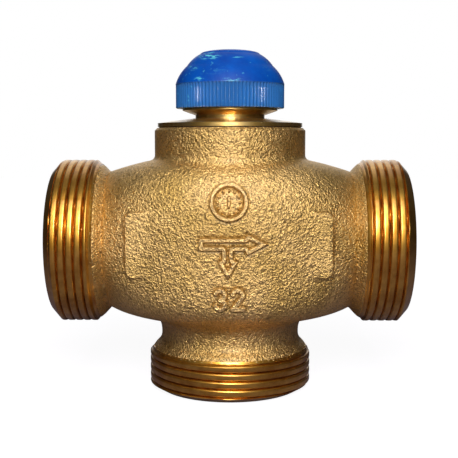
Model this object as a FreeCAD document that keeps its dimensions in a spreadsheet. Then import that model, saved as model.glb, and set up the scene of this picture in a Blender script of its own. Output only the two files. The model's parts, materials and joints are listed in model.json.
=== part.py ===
import FreeCAD, Part
import Sketcher
import math
import os
import re

# Three-way distribution valve for a thermostatic head, cast brass, size DN32, in millimetres.
# The origin is the centre of the branch port's end face. +Z runs up the stem, and X runs along
# the straight way, with the inlet on the -X side and the straight outlet on the +X side.

Vector = FreeCAD.Vector
doc = FreeCAD.newDocument("distribution_valve")
sheet = doc.addObject("Spreadsheet::Sheet", "sizes")


# Driving sizes

SIZES = {
    # Casting
    "run_length": (103.0, "inlet face to straight outlet face"),
    "branch_length": (43.5, "branch face to the axis of the run"),
    "belly_end_step": (0.3, "belly's ends wider than the port necks"),
    "belly_bulge": (5.8, "belly's front past the top neck, at the middle"),
    "belly_rise": (26.0, "belly top above the run's axis, at the middle"),
    "belly_drop": (22.2, "belly bottom below the run's axis, at the middle"),
    "belly_taper": (2.2, "how late the belly narrows towards its ends, a plain power"),
    "belly_top_square": (4.0, "how square the upper corners are, a plain power"),
    "belly_bottom_square": (4.0, "how square the lower corners are, a plain power"),
    "neck_radius": (22.2, "outside of the top neck"),
    "neck_height": (33.2, "top neck's face above the run's axis"),
    "neck_chamfer": (0.8, "chamfer round the neck's top"),
    "neck_bore_radius": (19.0, "bore that takes the bonnet"),
    "neck_fillet": (1.6, "blend between neck and belly"),
    "branch_fillet": (3.0, "blend between branch and belly"),
    # Threaded ports, parallel pipe thread of one and a half inch
    "port_thread_radius": (23.9, "crest of the port thread"),
    "port_thread_depth": (1.4, "depth of the port thread"),
    "port_pitch": (2.309, "pitch of the port thread"),
    "port_root_flat": (0.25, "flat at the thread's root"),
    "port_crest_flat": (0.55, "flat at the thread's crest"),
    "port_face_radius": (21.2, "outside of the sealing face"),
    "port_bore_radius": (16.0, "bore of each port"),
    "branch_bore_length": (20.0, "machined bore of the branch port"),
    "port_neck_radius": (20.6, "cast neck behind each port"),
    "port_flange_radius": (23.3, "shoulder behind each thread"),
    "port_lead": (2.4, "lead-in chamfer of the side ports, along the axis"),
    "port_thread_length": (12.0, "side port face to the thread's end"),
    "port_shoulder_width": (1.3, "shoulder behind the side ports' threads"),
    "port_shoulder_cone": (2.8, "cone from that shoulder down to the neck"),
    "branch_lead": (1.6, "lead-in chamfer of the branch port, along the axis"),
    "branch_thread_length": (11.0, "branch port face to the thread's end"),
    "branch_shoulder_width": (0.7, "shoulder behind the branch thread"),
    "branch_shoulder_cone": (2.8, "cone from that shoulder down to the neck"),
    "port_foot": (0.2, "bare neck between that cone and the belly's end"),
    "port_overlap": (9.0, "length of each port's root inside the casting"),
    "spigot_step": (2.0, "how much narrower the branch port's root is than its neck"),
    # Side pads
    "pad_margin": (6.9, "belly's end to the pad's outer edge"),
    "pad_width": (8.3, "pad along the run"),
    "pad_sink": (3.0, "pad's face behind the belly's deepest front"),
    "pad_depth": (7.0, "pad's thickness, most of it in the wall"),
    "pad_rise": (10.2, "pad's top above the run's axis"),
    "pad_drop": (7.8, "pad's bottom below the run's axis"),
    "pad_corner": (1.6, "corner radius of each pad"),
    # Water ways inside
    "chamber_radius": (14.5, "middle chamber"),
    "chamber_roof": (4.0, "middle chamber's roof above the run's axis"),
    "chamber_floor": (8.0, "middle chamber's floor below the run's axis"),
    "upper_chamber_radius": (17.5, "chamber over the upper seat"),
    "upper_chamber_top": (21.0, "its top above the run's axis"),
    "upper_seat_rise": (7.0, "upper seat above the run's axis"),
    "lower_seat_drop": (11.0, "lower seat below the run's axis"),
    "seat_radius": (12.0, "opening through each seat"),
    "seat_lip_width": (1.4, "width of each seat's raised lip"),
    "seat_lip_height": (1.0, "height of each seat's raised lip"),
    "passage_wall": (0.2, "how much narrower the cast passages are than the bores"),
    "inlet_slot_half": (5.4, "half height of the inlet's slot into the middle chamber"),
    "inlet_slot_drop": (2.0, "that slot's centre below the run's axis"),
    "inlet_slot_depth": (13.5, "half width of that slot, front to back"),
    "inlet_slot_share": (0.6667, "where that slot starts, as a share of the way out to the bore"),
    "passage_margin": (5.2, "belly's end to where the cast passages leave the bores"),
    "riser_half": (6.6, "half height of the outlet's riser at the upper chamber"),
    "riser_rise": (13.8, "riser's centre above the run's axis"),
    "riser_depth": (14.0, "half width of the riser, front to back"),
    "riser_share": (0.6, "where the riser starts, as a share of the way out to the bore"),
    # Bonnet
    "gasket_thickness": (0.3, "flat gasket between neck and bonnet"),
    "gasket_radius": (20.9, "outside of that gasket"),
    "bonnet_flange_radius": (21.3, "bonnet flange"),
    "bonnet_flange_height": (1.1, "thickness of the flange's rim"),
    "bonnet_cone_height": (1.5, "shallow cone over the flange"),
    "bonnet_relief_radius": (10.2, "waist between flange and head thread"),
    "bonnet_relief_height": (0.85, "height of that waist"),
    "head_thread_radius": (14.0, "crest of the head thread"),
    "head_lead_height": (1.35, "cone under the head thread"),
    "head_thread_length": (5.2, "head thread, cone to top face"),
    "head_chamfer": (0.7, "chamfer at the head thread's top"),
    "plug_length": (11.1, "bonnet's plug below its flange"),
    "plug_chamfer": (1.0, "chamfer round the plug's bottom"),
    "plug_undercut_depth": (0.75, "undercut below the flange"),
    "plug_undercut_height": (1.6, "height of that undercut above the neck bore's threads"),
    "spring_room_radius": (7.5, "room for the return spring"),
    "spring_room_cone": (1.0, "cone at that room's top"),
    "plate_pocket_radius": (9.0, "pocket for the spring's seat plate"),
    "plate_pocket_depth": (2.6, "depth of that pocket"),
    "plate_thickness": (1.3, "spring's seat plate"),
    "plate_hole_radius": (5.2, "hole in the plate for the guide bush"),
    "plate_clip_thickness": (0.8, "retaining ring under the plate"),
    "plate_clip_groove": (0.8, "depth of its groove"),
    "plate_clip_width": (1.7, "radial width of that ring"),
    "clip_gap": (5.0, "opening of each retaining ring"),
    # Gland
    "gland_radius": (6.5, "threaded hole for the gland nut"),
    "gland_depth": (3.5, "gland nut below the bonnet's top"),
    "gland_head_height": (2.5, "hexagon of the gland nut"),
    "gland_flats": (13.0, "hexagon across its flats"),
    "gland_chamfer": (0.5, "chamfer on the hexagon's corners"),
    "pin_ring_section": (1.4, "thickness of the rings on the pin"),
    "pin_ring_lower": (1.55, "lower ring's centre above the gland nut's bottom"),
    "pin_ring_upper": (3.95, "upper ring's centre above the gland nut's bottom"),
    "outer_ring_section": (1.0, "thickness of the ring round the gland nut"),
    "outer_ring_drop": (0.9, "that ring's centre below the bonnet's top"),
    # Stem and discs
    "stem_stroke": (3.0, "travel of the stem"),
    "seat_gap": (0.05, "disc to seat, shut"),
    "stem_radius": (4.0, "stem through the guide bush"),
    "spindle_radius": (3.0, "lower part of the stem, through the discs"),
    "spindle_tail": (1.0, "spindle below the lock nut"),
    "stem_end_length": (0.7, "stem above the collar's ring"),
    "pin_radius": (2.5, "actuator pin"),
    "pin_socket_depth": (2.0, "socket for the pin in the stem"),
    "pin_reserve": (0.2, "pin above the gland nut when pressed down"),
    "pin_chamfer": (0.6, "chamfer of the pin's top"),
    "collar_radius": (7.0, "spring collar"),
    "collar_thickness": (1.5, "spring collar's thickness"),
    "collar_clip_thickness": (0.8, "retaining ring over the collar"),
    "collar_clip_groove": (0.6, "depth of its groove in the stem"),
    "collar_clip_width": (1.8, "radial width of that ring"),
    "bush_wall": (1.1, "guide bush's wall"),
    "bush_flange_radius": (6.2, "flange of the guide bush"),
    "bush_proud": (0.6, "guide bush above its plate"),
    "spring_length": (11.0, "return spring, valve at rest"),
    "spring_mean_radius": (6.25, "middle of the spring's wire"),
    "spring_wire": (1.1, "thickness of the spring's wire"),
    "spring_turns": (4.5, "turns of the spring"),
    "seal_thickness": (2.0, "rubber ring of each disc"),
    "hub_radius": (8.0, "hub inside each rubber ring"),
    "carrier_plate": (2.0, "disc behind each rubber ring"),
    "carrier_margin": (0.1, "disc's rim past the rubber ring"),
    "washer_radius": (9.5, "washer that holds each rubber ring"),
    "washer_thickness": (1.0, "that washer's thickness"),
    "sleeve_radius": (4.5, "spacer sleeve between the discs"),
    "nut_height": (3.4, "lock nut"),
    "nut_flats": (10.0, "lock nut across its flats"),
    "nut_chamfer": (0.4, "chamfer on the lock nut's corners"),
    # Cap
    "cap_radius": (16.0, "crest of the cap's knurl"),
    "cap_gap": (0.6, "cap's rim above the head thread's cone, at rest"),
    "cap_lead": (0.45, "lead-in chamfer inside the cap's rim"),
    "cap_roof_reserve": (0.1, "cap's inner step above the bonnet when the cap is down"),
    "knurl_height": (6.9, "height of the knurled band"),
    "knurl_count": (90, "ridges round the cap"),
    "knurl_depth": (0.45, "depth of the knurl"),
    "knurl_width": (0.86, "width of each notch at the crest"),
    "dome_base_radius": (15.95, "dome where it overhangs the knurl"),
    "dome_side_radius": (12.65, "dome at the top of its steep side"),
    "dome_side_height": (5.4, "height of that steep side"),
    "dome_side_curve": (24.0, "radius of the steep side's curve"),
    "dome_shoulder_radius": (8.7, "dome where its shoulder ends"),
    "dome_shoulder_height": (3.5, "height of the shoulder"),
    "dome_shoulder_curve": (10.0, "radius of the shoulder's curve"),
    "dome_crown_height": (1.2, "height of the crown over the shoulder"),
    "cap_wall": (1.9, "wall of the dome"),
    "boss_radius": (3.5, "boss in the cap that presses the pin"),
    # Clearances
    "fit_gap": (0.05, "radial gap of turned fits and running fits"),
    "cap_thread_gap": (0.08, "radial gap between cap and head thread"),
    "groove_gap": (0.02, "axial gap of a ring in its groove"),
    "press_gap": (0.1, "boss above the pin"),
}

for row, (alias, (number, meaning)) in enumerate(SIZES.items(), start=1):
    sheet.set("A%d" % row, alias)
    sheet.set("B%d" % row, str(number))
    sheet.set("C%d" % row, meaning)
    sheet.setAlias("B%d" % row, alias)
doc.recompute()


def bound(formula):
    """The formula with each size name pointing at its cell."""
    def cell(word):
        name = word.group()
        return "sizes." + name if name in SIZES else name

    return re.sub(r"[a-z_]+", cell, formula)


def size(formula):
    """The formula's present value."""
    return float(sheet.evalExpression(bound(formula).replace("sizes.", "")))


# Places along the run and across it, from the middle

BELLY_HALF = "run_length / 2 - port_thread_length - port_shoulder_width - port_shoulder_cone - port_foot"
BELLY_END_RADIUS = "port_neck_radius + belly_end_step"
BELLY_DEPTH = "neck_radius + belly_bulge"
PASSAGE_START = BELLY_HALF + " - passage_margin"
BRANCH_NECK_BOTTOM = "branch_thread_length + branch_shoulder_width + branch_shoulder_cone"
PAD_OUTER = BELLY_HALF + " - pad_margin"
PAD_INNER = PAD_OUTER + " - pad_width"
PAD_FACE = BELLY_DEPTH + " - pad_sink"


# Levels above the branch face, each worked out from the sizes

AXIS = "branch_length"
NECK_TOP = AXIS + " + neck_height"
FLANGE_BOTTOM = NECK_TOP + " + gasket_thickness"
FLANGE_TOP = FLANGE_BOTTOM + " + bonnet_flange_height"
CONE_TOP = FLANGE_TOP + " + bonnet_cone_height"
RELIEF_TOP = CONE_TOP + " + bonnet_relief_height"
HEAD_BOTTOM = RELIEF_TOP + " + head_lead_height"
HEAD_TOP = HEAD_BOTTOM + " + head_thread_length"
PLUG_BOTTOM = FLANGE_BOTTOM + " - plug_length"
PLATE_TOP = PLUG_BOTTOM + " + plate_pocket_depth"
PLATE_BOTTOM = PLATE_TOP + " - plate_thickness"
PLATE_CLIP_BOTTOM = PLATE_BOTTOM + " - plate_clip_thickness"
COLLAR_BOTTOM = PLATE_TOP + " + spring_length"
COLLAR_TOP = COLLAR_BOTTOM + " + collar_thickness"
COLLAR_CLIP_TOP = COLLAR_TOP + " + collar_clip_thickness"
STEM_TOP = COLLAR_CLIP_TOP + " + stem_end_length"
GLAND_BOTTOM = HEAD_TOP + " - gland_depth"
GLAND_TOP = HEAD_TOP + " + gland_head_height"
PIN_TOP = GLAND_TOP + " + stem_stroke + pin_reserve"
CAP_RIM = HEAD_BOTTOM + " + cap_gap"
KNURL_TOP = CAP_RIM + " + knurl_height"
DOME_SIDE = KNURL_TOP + " + dome_side_height"
DOME_SHOULDER = DOME_SIDE + " + dome_shoulder_height"
DOME_TOP = DOME_SHOULDER + " + dome_crown_height"
UPPER_SEAT = AXIS + " + upper_seat_rise"
UPPER_SEAL_BOTTOM = UPPER_SEAT + " + stem_stroke + seat_gap"
UPPER_SEAL_TOP = UPPER_SEAL_BOTTOM + " + seal_thickness"
UPPER_CARRIER_TOP = UPPER_SEAL_TOP + " + carrier_plate"
UPPER_WASHER_BOTTOM = UPPER_SEAL_BOTTOM + " - washer_thickness"
LOWER_SEAT = AXIS + " - lower_seat_drop"
LOWER_SEAL_TOP = LOWER_SEAT + " - seat_gap"
LOWER_WASHER_TOP = LOWER_SEAL_TOP + " + washer_thickness"
LOWER_SEAL_BOTTOM = LOWER_SEAL_TOP + " - seal_thickness"
LOWER_CARRIER_BOTTOM = LOWER_SEAL_BOTTOM + " - carrier_plate"
NUT_BOTTOM = LOWER_CARRIER_BOTTOM + " - nut_height"
SPINDLE_END = NUT_BOTTOM + " - spindle_tail"


# Building blocks

AXIAL = "axial"


def origin_feature(body, role):
    return [feature for feature in body.Origin.OriginFeatures if feature.Role == role][0]


def arc_between(start, end, radius):
    """Counter-clockwise arc from start to end, on the shorter way round."""
    middle = (start + end) * 0.5
    half = (end - start).Length / 2
    left = Vector(start.y - end.y, end.x - start.x, 0).normalize()
    centre = middle + left * math.sqrt(radius * radius - half * half)
    first = math.atan2(start.y - centre.y, start.x - centre.x)
    last = math.atan2(end.y - centre.y, end.x - centre.x)
    return Part.ArcOfCircle(Part.Circle(centre, Vector(0, 0, 1), radius), first, last)


def closed_sketch(body, name, plane, outline):
    """Closed outline of (across, along, arc) corners, each tied to the sizes.

    The arc that leaves a corner is None for a straight line, the name of its radius, or AXIAL
    for one whose centre lies on the axis of turning."""
    sketch = body.newObject("Sketcher::SketchObject", name)
    sketch.AttachmentSupport = [(origin_feature(body, plane), "")]
    sketch.MapMode = "FlatFace"
    corners = [Vector(size(across), size(along), 0) for across, along, arc in outline]
    count = len(corners)
    for index, (across, along, arc) in enumerate(outline):
        start = corners[index]
        end = corners[(index + 1) % count]
        if arc is None:
            sketch.addGeometry(Part.LineSegment(start, end), False)
        elif arc == AXIAL:
            rise = abs(end.y - start.y)
            sketch.addGeometry(arc_between(start, end, (start.x ** 2 + rise ** 2) / 2 / rise), False)
        else:
            sketch.addGeometry(arc_between(start, end, size(arc)), False)
    for index in range(count):
        sketch.addConstraint(Sketcher.Constraint("Coincident", index, 2, (index + 1) % count, 1))
    for index, (across, along, arc) in enumerate(outline):
        for kind, axis, formula, place in (("DistanceX", -2, across, corners[index].x),
                                           ("DistanceY", -1, along, corners[index].y)):
            if formula == "0":
                sketch.addConstraint(Sketcher.Constraint("PointOnObject", index, 1, axis))
            else:
                number = sketch.addConstraint(Sketcher.Constraint(kind, -1, 1, index, 1, place))
                sketch.setExpression("Constraints[%d]" % number, bound(formula))
        if arc == AXIAL:
            sketch.addConstraint(Sketcher.Constraint("PointOnObject", index, 3, -2))
        elif arc is not None:
            number = sketch.addConstraint(Sketcher.Constraint("Radius", index, size(arc)))
            sketch.setExpression("Constraints[%d]" % number, bound(arc))
    return sketch


def turned(name, outline):
    """Body turned about Z from a closed outline of (radius, height) or (radius, height, arc) corners."""
    body = doc.addObject("PartDesign::Body", name)
    corners = [tuple(corner) + (None,) * (3 - len(corner)) for corner in outline]
    sketch = closed_sketch(body, name + "_outline", "XZ_Plane", corners)
    turning = body.newObject("PartDesign::Revolution", name + "_turning")
    turning.Profile = sketch
    turning.ReferenceAxis = (sketch, ["V_Axis"])
    turning.Angle = 360
    sketch.Visibility = False
    return body


def ring(name, inner, outer, bottom, top):
    return turned(name, [(inner, bottom), (outer, bottom), (outer, top), (inner, top)])


def joined(kind, name, **links):
    """Boolean of the given kind between finished objects."""
    result = doc.addObject("Part::" + kind, name)
    for key, value in links.items():
        setattr(result, key, value)
    return result


def box(name, low, high):
    """Box between two corners whose coordinates are formulas."""
    block = doc.addObject("Part::Box", name)
    for side, axis, start, end in zip(("Length", "Width", "Height"), "xyz", low, high):
        block.setExpression(side, bound("(%s) - (%s)" % (end, start)))
        block.setExpression("Placement.Base." + axis, bound(start))
    return block


def hexagon(name, flats, bottom, top):
    prism = doc.addObject("Part::Prism", name)
    prism.Polygon = 6
    prism.setExpression("Circumradius", bound("(%s) / 2 / cos(30 deg)" % flats))
    prism.setExpression("Height", bound("(%s) - (%s)" % (top, bottom)))
    prism.setExpression("Placement.Base.z", bound(bottom))
    return prism


def oval(place, depth, middle, rise, drop, top_power, bottom_power):
    """Rounded-square section across X at the given place, as one smooth closed wire."""
    steps = 24
    points = []
    for step in range(steps):
        turn = 2 * math.pi * step / steps
        power, reach = (top_power, rise) if step <= steps / 2 else (bottom_power, drop)
        across = math.copysign(abs(math.cos(turn)) ** (2 / power), math.cos(turn)) * depth
        up = math.copysign(abs(math.sin(turn)) ** (2 / power), math.sin(turn)) * reach
        points.append(Vector(place, across, middle + up))
    curve = Part.BSplineCurve()
    curve.interpolate(points, PeriodicFlag=True)
    return Part.Wire([curve.toShape()])


def shaped(name, shape):
    piece = doc.addObject("Part::Feature", name)
    piece.Shape = shape
    return piece


def belly():
    """Cast belly: round at both ends and boxy, with softer lower corners, in the middle."""
    length = size(BELLY_HALF)
    end = size(BELLY_END_RADIUS)
    taper = size("belly_taper")
    sections = []
    for share in (-1, -0.86, -0.66, -0.36, 0, 0.36, 0.66, 0.86, 1):
        swell = 1 - abs(share) ** taper
        sections.append(oval(
            share * length,
            end + (size(BELLY_DEPTH) - end) * swell,
            size(AXIS),
            end + (size("belly_rise") - end) * swell,
            end + (size("belly_drop") - end) * swell,
            2 + (size("belly_top_square") - 2) * swell,
            2 + (size("belly_bottom_square") - 2) * swell))
    return shaped("belly", Part.makeLoft(sections, True, False))


def port(name, reach, thread_length, lead, shoulder_width, shoulder_cone, inner_radius, direction):
    """One threaded port along its own Z axis, from inside the belly to its sealing face."""
    thread_end = "%s - %s" % (reach, thread_length)
    shoulder = "%s - %s" % (thread_end, shoulder_width)
    cone = "%s - %s" % (shoulder, shoulder_cone)
    root = "%s - port_overlap" % cone
    foot = [("0", root), (inner_radius, root), (inner_radius, cone)]
    if inner_radius != "port_neck_radius":
        foot.append(("port_neck_radius", cone))
    body = turned(name, foot + [
        ("port_flange_radius", shoulder),
        ("port_flange_radius", thread_end),
        ("port_thread_radius", thread_end),
        ("port_thread_radius", "%s - %s" % (reach, lead)),
        ("port_face_radius", reach),
        ("0", reach)])
    groove_top = "%s - %s - port_crest_flat" % (reach, lead)
    flank = "(port_pitch - port_crest_flat - port_root_flat) / 2"
    root_radius = "port_thread_radius - port_thread_depth"
    outside = "port_thread_radius + port_crest_flat"
    sketch = closed_sketch(body, name + "_thread_section", "XZ_Plane", [
        (root_radius, "%s - %s - port_root_flat" % (groove_top, flank), None),
        ("port_thread_radius", "%s - 2 * %s - port_root_flat" % (groove_top, flank), None),
        (outside, "%s - 2 * %s - port_root_flat" % (groove_top, flank), None),
        (outside, groove_top, None),
        ("port_thread_radius", groove_top, None),
        (root_radius, "%s - %s" % (groove_top, flank), None)])
    groove = body.newObject("PartDesign::Groove", name + "_groove")
    groove.Profile = sketch
    groove.ReferenceAxis = (sketch, ["V_Axis"])
    groove.Angle = 360
    sketch.Visibility = False
    rows = body.newObject("PartDesign::LinearPattern", name + "_thread")
    rows.Originals = [groove]
    rows.Direction = (origin_feature(body, "Z_Axis"), [""])
    rows.Reversed = True
    rows.setExpression("Occurrences", bound(
        "floor((%s - %s - port_crest_flat) / port_pitch)" % (thread_length, lead)))
    rows.setExpression("Length", bound(
        "(floor((%s - %s - port_crest_flat) / port_pitch) - 1) * port_pitch" % (thread_length, lead)))
    body.Tip = rows
    body.Placement = FreeCAD.Placement(Vector(0, 0, 0), FreeCAD.Rotation(Vector(0, 0, 1), direction))
    body.setExpression("Placement.Base.z", bound(AXIS))
    return body


def pad(name, side, front):
    """Flat pad that stands proud of the belly's rounded flank, with rounded corners."""
    across = (PAD_INNER, PAD_OUTER) if side > 0 else ("0 - (%s)" % PAD_OUTER, "0 - (%s)" % PAD_INNER)
    depth = (("0 - (%s)" % PAD_FACE, "pad_depth - (%s)" % PAD_FACE) if front
             else (PAD_FACE + " - pad_depth", PAD_FACE))
    block = box(name + "_block", (across[0], depth[0], AXIS + " - pad_drop"),
                (across[1], depth[1], AXIS + " + pad_rise"))
    doc.recompute()
    rounded = doc.addObject("Part::Fillet", name)
    rounded.Base = block
    rounded.Edges = [(number, size("pad_corner"), size("pad_corner"))
                     for number, edge in enumerate(block.Shape.Edges, start=1)
                     if abs(edge.tangentAt(edge.FirstParameter).y) > 0.9]
    return rounded


def water_ways():
    """Everything that is hollow in the casting: bores, seats, chambers and the cast passages."""
    well = turned("well", [
        ("0", "0"),
        ("port_bore_radius", "0"),
        ("port_bore_radius", "branch_bore_length"),
        ("port_bore_radius - passage_wall", "branch_bore_length"),
        ("port_bore_radius - passage_wall", LOWER_SEAT + " + seat_lip_height"),
        ("seat_radius + seat_lip_width", LOWER_SEAT + " + seat_lip_height"),
        ("seat_radius + seat_lip_width", LOWER_SEAT),
        ("seat_radius", LOWER_SEAT),
        ("seat_radius", AXIS + " - chamber_floor"),
        ("chamber_radius", AXIS + " - chamber_floor"),
        ("chamber_radius", AXIS + " + chamber_roof"),
        ("seat_radius", AXIS + " + chamber_roof"),
        ("seat_radius", UPPER_SEAT),
        ("seat_radius + seat_lip_width", UPPER_SEAT),
        ("seat_radius + seat_lip_width", UPPER_SEAT + " - seat_lip_height"),
        ("upper_chamber_radius", UPPER_SEAT + " - seat_lip_height"),
        ("upper_chamber_radius", AXIS + " + upper_chamber_top"),
        ("neck_bore_radius", AXIS + " + upper_chamber_top + neck_bore_radius - upper_chamber_radius"),
        ("neck_bore_radius", NECK_TOP + " - neck_chamfer"),
        ("neck_bore_radius + neck_chamfer", NECK_TOP),
        ("0", NECK_TOP)])
    tools = [well]
    for name, side in (("inlet_bore", -1), ("outlet_bore", 1)):
        bore = doc.addObject("Part::Cylinder", name)
        bore.setExpression("Radius", bound("port_bore_radius"))
        bore.setExpression("Height", bound("run_length / 2 - (%s) + passage_wall" % PASSAGE_START))
        start = PASSAGE_START + " - passage_wall"
        outward = FreeCAD.Rotation(Vector(0, 0, 1), Vector(side, 0, 0))
        bore.Placement = FreeCAD.Placement(Vector(0, 0, 0), outward)
        bore.setExpression("Placement.Base.x", bound(start if side > 0 else "0 - (%s)" % start))
        bore.setExpression("Placement.Base.z", bound(AXIS))
        tools.append(bore)
    middle = size(AXIS)
    mouth = size("port_bore_radius - passage_wall")
    start = size(PASSAGE_START)
    slot = start * size("inlet_slot_share")
    slot_level = middle - size("inlet_slot_drop")
    slot_half = size("inlet_slot_half")
    slot_depth = size("inlet_slot_depth")
    halfway = (start + slot) / 2
    tools.append(shaped("inlet_passage", Part.makeLoft([
        oval(-start, mouth, middle, mouth, mouth, 2, 2),
        oval(-halfway, (mouth + slot_depth) / 2, (middle + slot_level) / 2,
             (mouth + slot_half) / 2, (mouth + slot_half) / 2, 2.5, 2.5),
        oval(-slot, slot_depth, slot_level, slot_half, slot_half, 3, 3),
        oval(-slot / 3, slot_depth, slot_level, slot_half, slot_half, 3, 3)], True, True)))
    riser = start * size("riser_share")
    riser_level = middle + size("riser_rise")
    riser_half = size("riser_half")
    riser_depth = size("riser_depth")
    halfway = (start + riser) / 2
    tools.append(shaped("outlet_passage", Part.makeLoft([
        oval(start, mouth, middle, mouth, mouth, 2, 2),
        oval(halfway, (mouth + riser_depth) / 2, (middle + riser_level) / 2,
             (mouth + riser_half) / 2, (mouth + riser_half) / 2, 2.5, 2.5),
        oval(riser, riser_depth, riser_level, riser_half, riser_half, 3, 3),
        oval(riser / 2, riser_depth, riser_level, riser_half, riser_half, 3, 3)], True, True)))
    return joined("MultiFuse", "water_ways", Shapes=tools)


def valve_body():
    """The one-piece casting, with its machined ports, neck and seats."""
    neck = turned("neck", [
        ("0", AXIS),
        ("neck_radius", AXIS),
        ("neck_radius", NECK_TOP + " - neck_chamfer"),
        ("neck_radius - neck_chamfer", NECK_TOP),
        ("0", NECK_TOP)])
    ports = [
        port(name, "run_length / 2", "port_thread_length", "port_lead",
             "port_shoulder_width", "port_shoulder_cone", "port_neck_radius", direction)
        for name, direction in (("inlet_port", Vector(-1, 0, 0)), ("outlet_port", Vector(1, 0, 0)))]
    ports.append(port("branch_port", "branch_length", "branch_thread_length", "branch_lead",
                      "branch_shoulder_width", "branch_shoulder_cone", "port_neck_radius - spigot_step",
                      Vector(0, 0, -1)))
    pads = [pad("pad_%s_%s" % (side_name, face_name), side, front)
            for side_name, side in (("left", -1), ("right", 1))
            for face_name, front in (("front", True), ("back", False))]
    branch_neck = doc.addObject("Part::Cylinder", "branch_neck")
    branch_neck.setExpression("Radius", bound("port_neck_radius"))
    branch_neck.setExpression("Height", bound("%s - (%s)" % (AXIS, BRANCH_NECK_BOTTOM)))
    branch_neck.setExpression("Placement.Base.z", bound(BRANCH_NECK_BOTTOM))
    rough = joined("MultiFuse", "rough_casting", Shapes=[belly(), neck, branch_neck])
    rough.Refine = True
    doc.recompute()

    def seam(radius, below, above):
        """Numbers of the edges where a vertical neck of this radius meets the belly."""
        found = []
        for number, edge in enumerate(rough.Shape.Edges, start=1):
            points = edge.discretize(9)
            on_neck = all(abs(math.hypot(point.x, point.y) - radius) < 0.02 for point in points)
            if on_neck and all(below < point.z < above for point in points):
                found.append(number)
        return found

    blended = doc.addObject("Part::Fillet", "blended_casting")
    blended.Base = rough
    neck_seam = seam(size("neck_radius"), size(AXIS), size(NECK_TOP) - size("neck_chamfer") - 0.1)
    branch_seam = seam(size("port_neck_radius"), size(BRANCH_NECK_BOTTOM) + 0.1, size(AXIS))
    blended.Edges = ([(number, size("neck_fillet"), size("neck_fillet")) for number in neck_seam]
                     + [(number, size("branch_fillet"), size("branch_fillet")) for number in branch_seam])
    outside = joined("MultiFuse", "casting_outside", Shapes=[blended] + ports + pads)
    return joined("Cut", "valve_body", Base=outside, Tool=water_ways())


def bonnet():
    """Turned insert: plug in the neck, flange, waist and head thread, hollow for spring and gland."""
    return turned("bonnet", [
        ("plate_pocket_radius", PLUG_BOTTOM),
        ("neck_bore_radius - fit_gap - plug_chamfer", PLUG_BOTTOM),
        ("neck_bore_radius - fit_gap", PLUG_BOTTOM + " + plug_chamfer"),
        ("neck_bore_radius - fit_gap", NECK_TOP + " - plug_undercut_height"),
        ("neck_bore_radius - plug_undercut_depth", NECK_TOP + " - plug_undercut_height"),
        ("neck_bore_radius - plug_undercut_depth", FLANGE_BOTTOM),
        ("bonnet_flange_radius", FLANGE_BOTTOM),
        ("bonnet_flange_radius", FLANGE_TOP),
        ("bonnet_relief_radius", CONE_TOP),
        ("bonnet_relief_radius", RELIEF_TOP),
        ("head_thread_radius", HEAD_BOTTOM),
        ("head_thread_radius", HEAD_TOP + " - head_chamfer"),
        ("head_thread_radius - head_chamfer", HEAD_TOP),
        ("gland_radius", HEAD_TOP),
        ("gland_radius", GLAND_BOTTOM + " - groove_gap"),
        ("spring_room_radius", GLAND_BOTTOM + " - groove_gap - spring_room_cone"),
        ("spring_room_radius", PLATE_TOP),
        ("plate_pocket_radius", PLATE_TOP),
        ("plate_pocket_radius", PLATE_BOTTOM + " + groove_gap"),
        ("plate_pocket_radius + plate_clip_groove", PLATE_BOTTOM + " + groove_gap"),
        ("plate_pocket_radius + plate_clip_groove", PLATE_CLIP_BOTTOM + " - groove_gap"),
        ("plate_pocket_radius", PLATE_CLIP_BOTTOM + " - groove_gap")])


def gland_nut():
    """Gland nut: one turning with ring grooves inside and out, milled to a hexagon."""
    bore = "pin_radius + fit_gap"
    inner_groove = "pin_radius + fit_gap + pin_ring_section"
    half_inner = "(pin_ring_section / 2 + fit_gap)"
    outer_groove = "gland_radius - groove_gap - outer_ring_section - groove_gap"
    half_outer = "(outer_ring_section / 2 + fit_gap)"
    lower = GLAND_BOTTOM + " + pin_ring_lower"
    upper = GLAND_BOTTOM + " + pin_ring_upper"
    outer = HEAD_TOP + " - outer_ring_drop"
    corner = "gland_flats / 2 / cos(30 deg)"
    blank = turned("gland_nut_blank", [
        (bore, GLAND_BOTTOM),
        ("gland_radius - fit_gap", GLAND_BOTTOM),
        ("gland_radius - fit_gap", "%s - %s" % (outer, half_outer)),
        (outer_groove, "%s - %s" % (outer, half_outer)),
        (outer_groove, "%s + %s" % (outer, half_outer)),
        ("gland_radius - fit_gap", "%s + %s" % (outer, half_outer)),
        ("gland_radius - fit_gap", HEAD_TOP),
        (corner, HEAD_TOP),
        (corner, GLAND_TOP + " - gland_chamfer"),
        ("%s - 2 * gland_chamfer" % corner, GLAND_TOP),
        (bore, GLAND_TOP),
        (bore, "%s + %s" % (upper, half_inner)),
        (inner_groove, "%s + %s" % (upper, half_inner)),
        (inner_groove, "%s - %s" % (upper, half_inner)),
        (bore, "%s - %s" % (upper, half_inner)),
        (bore, "%s + %s" % (lower, half_inner)),
        (inner_groove, "%s + %s" % (lower, half_inner)),
        (inner_groove, "%s - %s" % (lower, half_inner)),
        (bore, "%s - %s" % (lower, half_inner))])
    bar = hexagon("gland_nut_bar", "gland_flats", GLAND_BOTTOM, GLAND_TOP)
    return joined("MultiCommon", "gland_nut", Shapes=[blank, bar])


def rubber_ring(name, inner, section, level):
    """Round-section ring that just clears the shaft of the given radius."""
    loop = doc.addObject("Part::Torus", name)
    loop.setExpression("Radius1", bound("%s + (%s) / 2" % (inner, section)))
    loop.setExpression("Radius2", bound("(%s) / 2" % section))
    loop.setExpression("Placement.Base.z", bound(level))
    return loop


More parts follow.
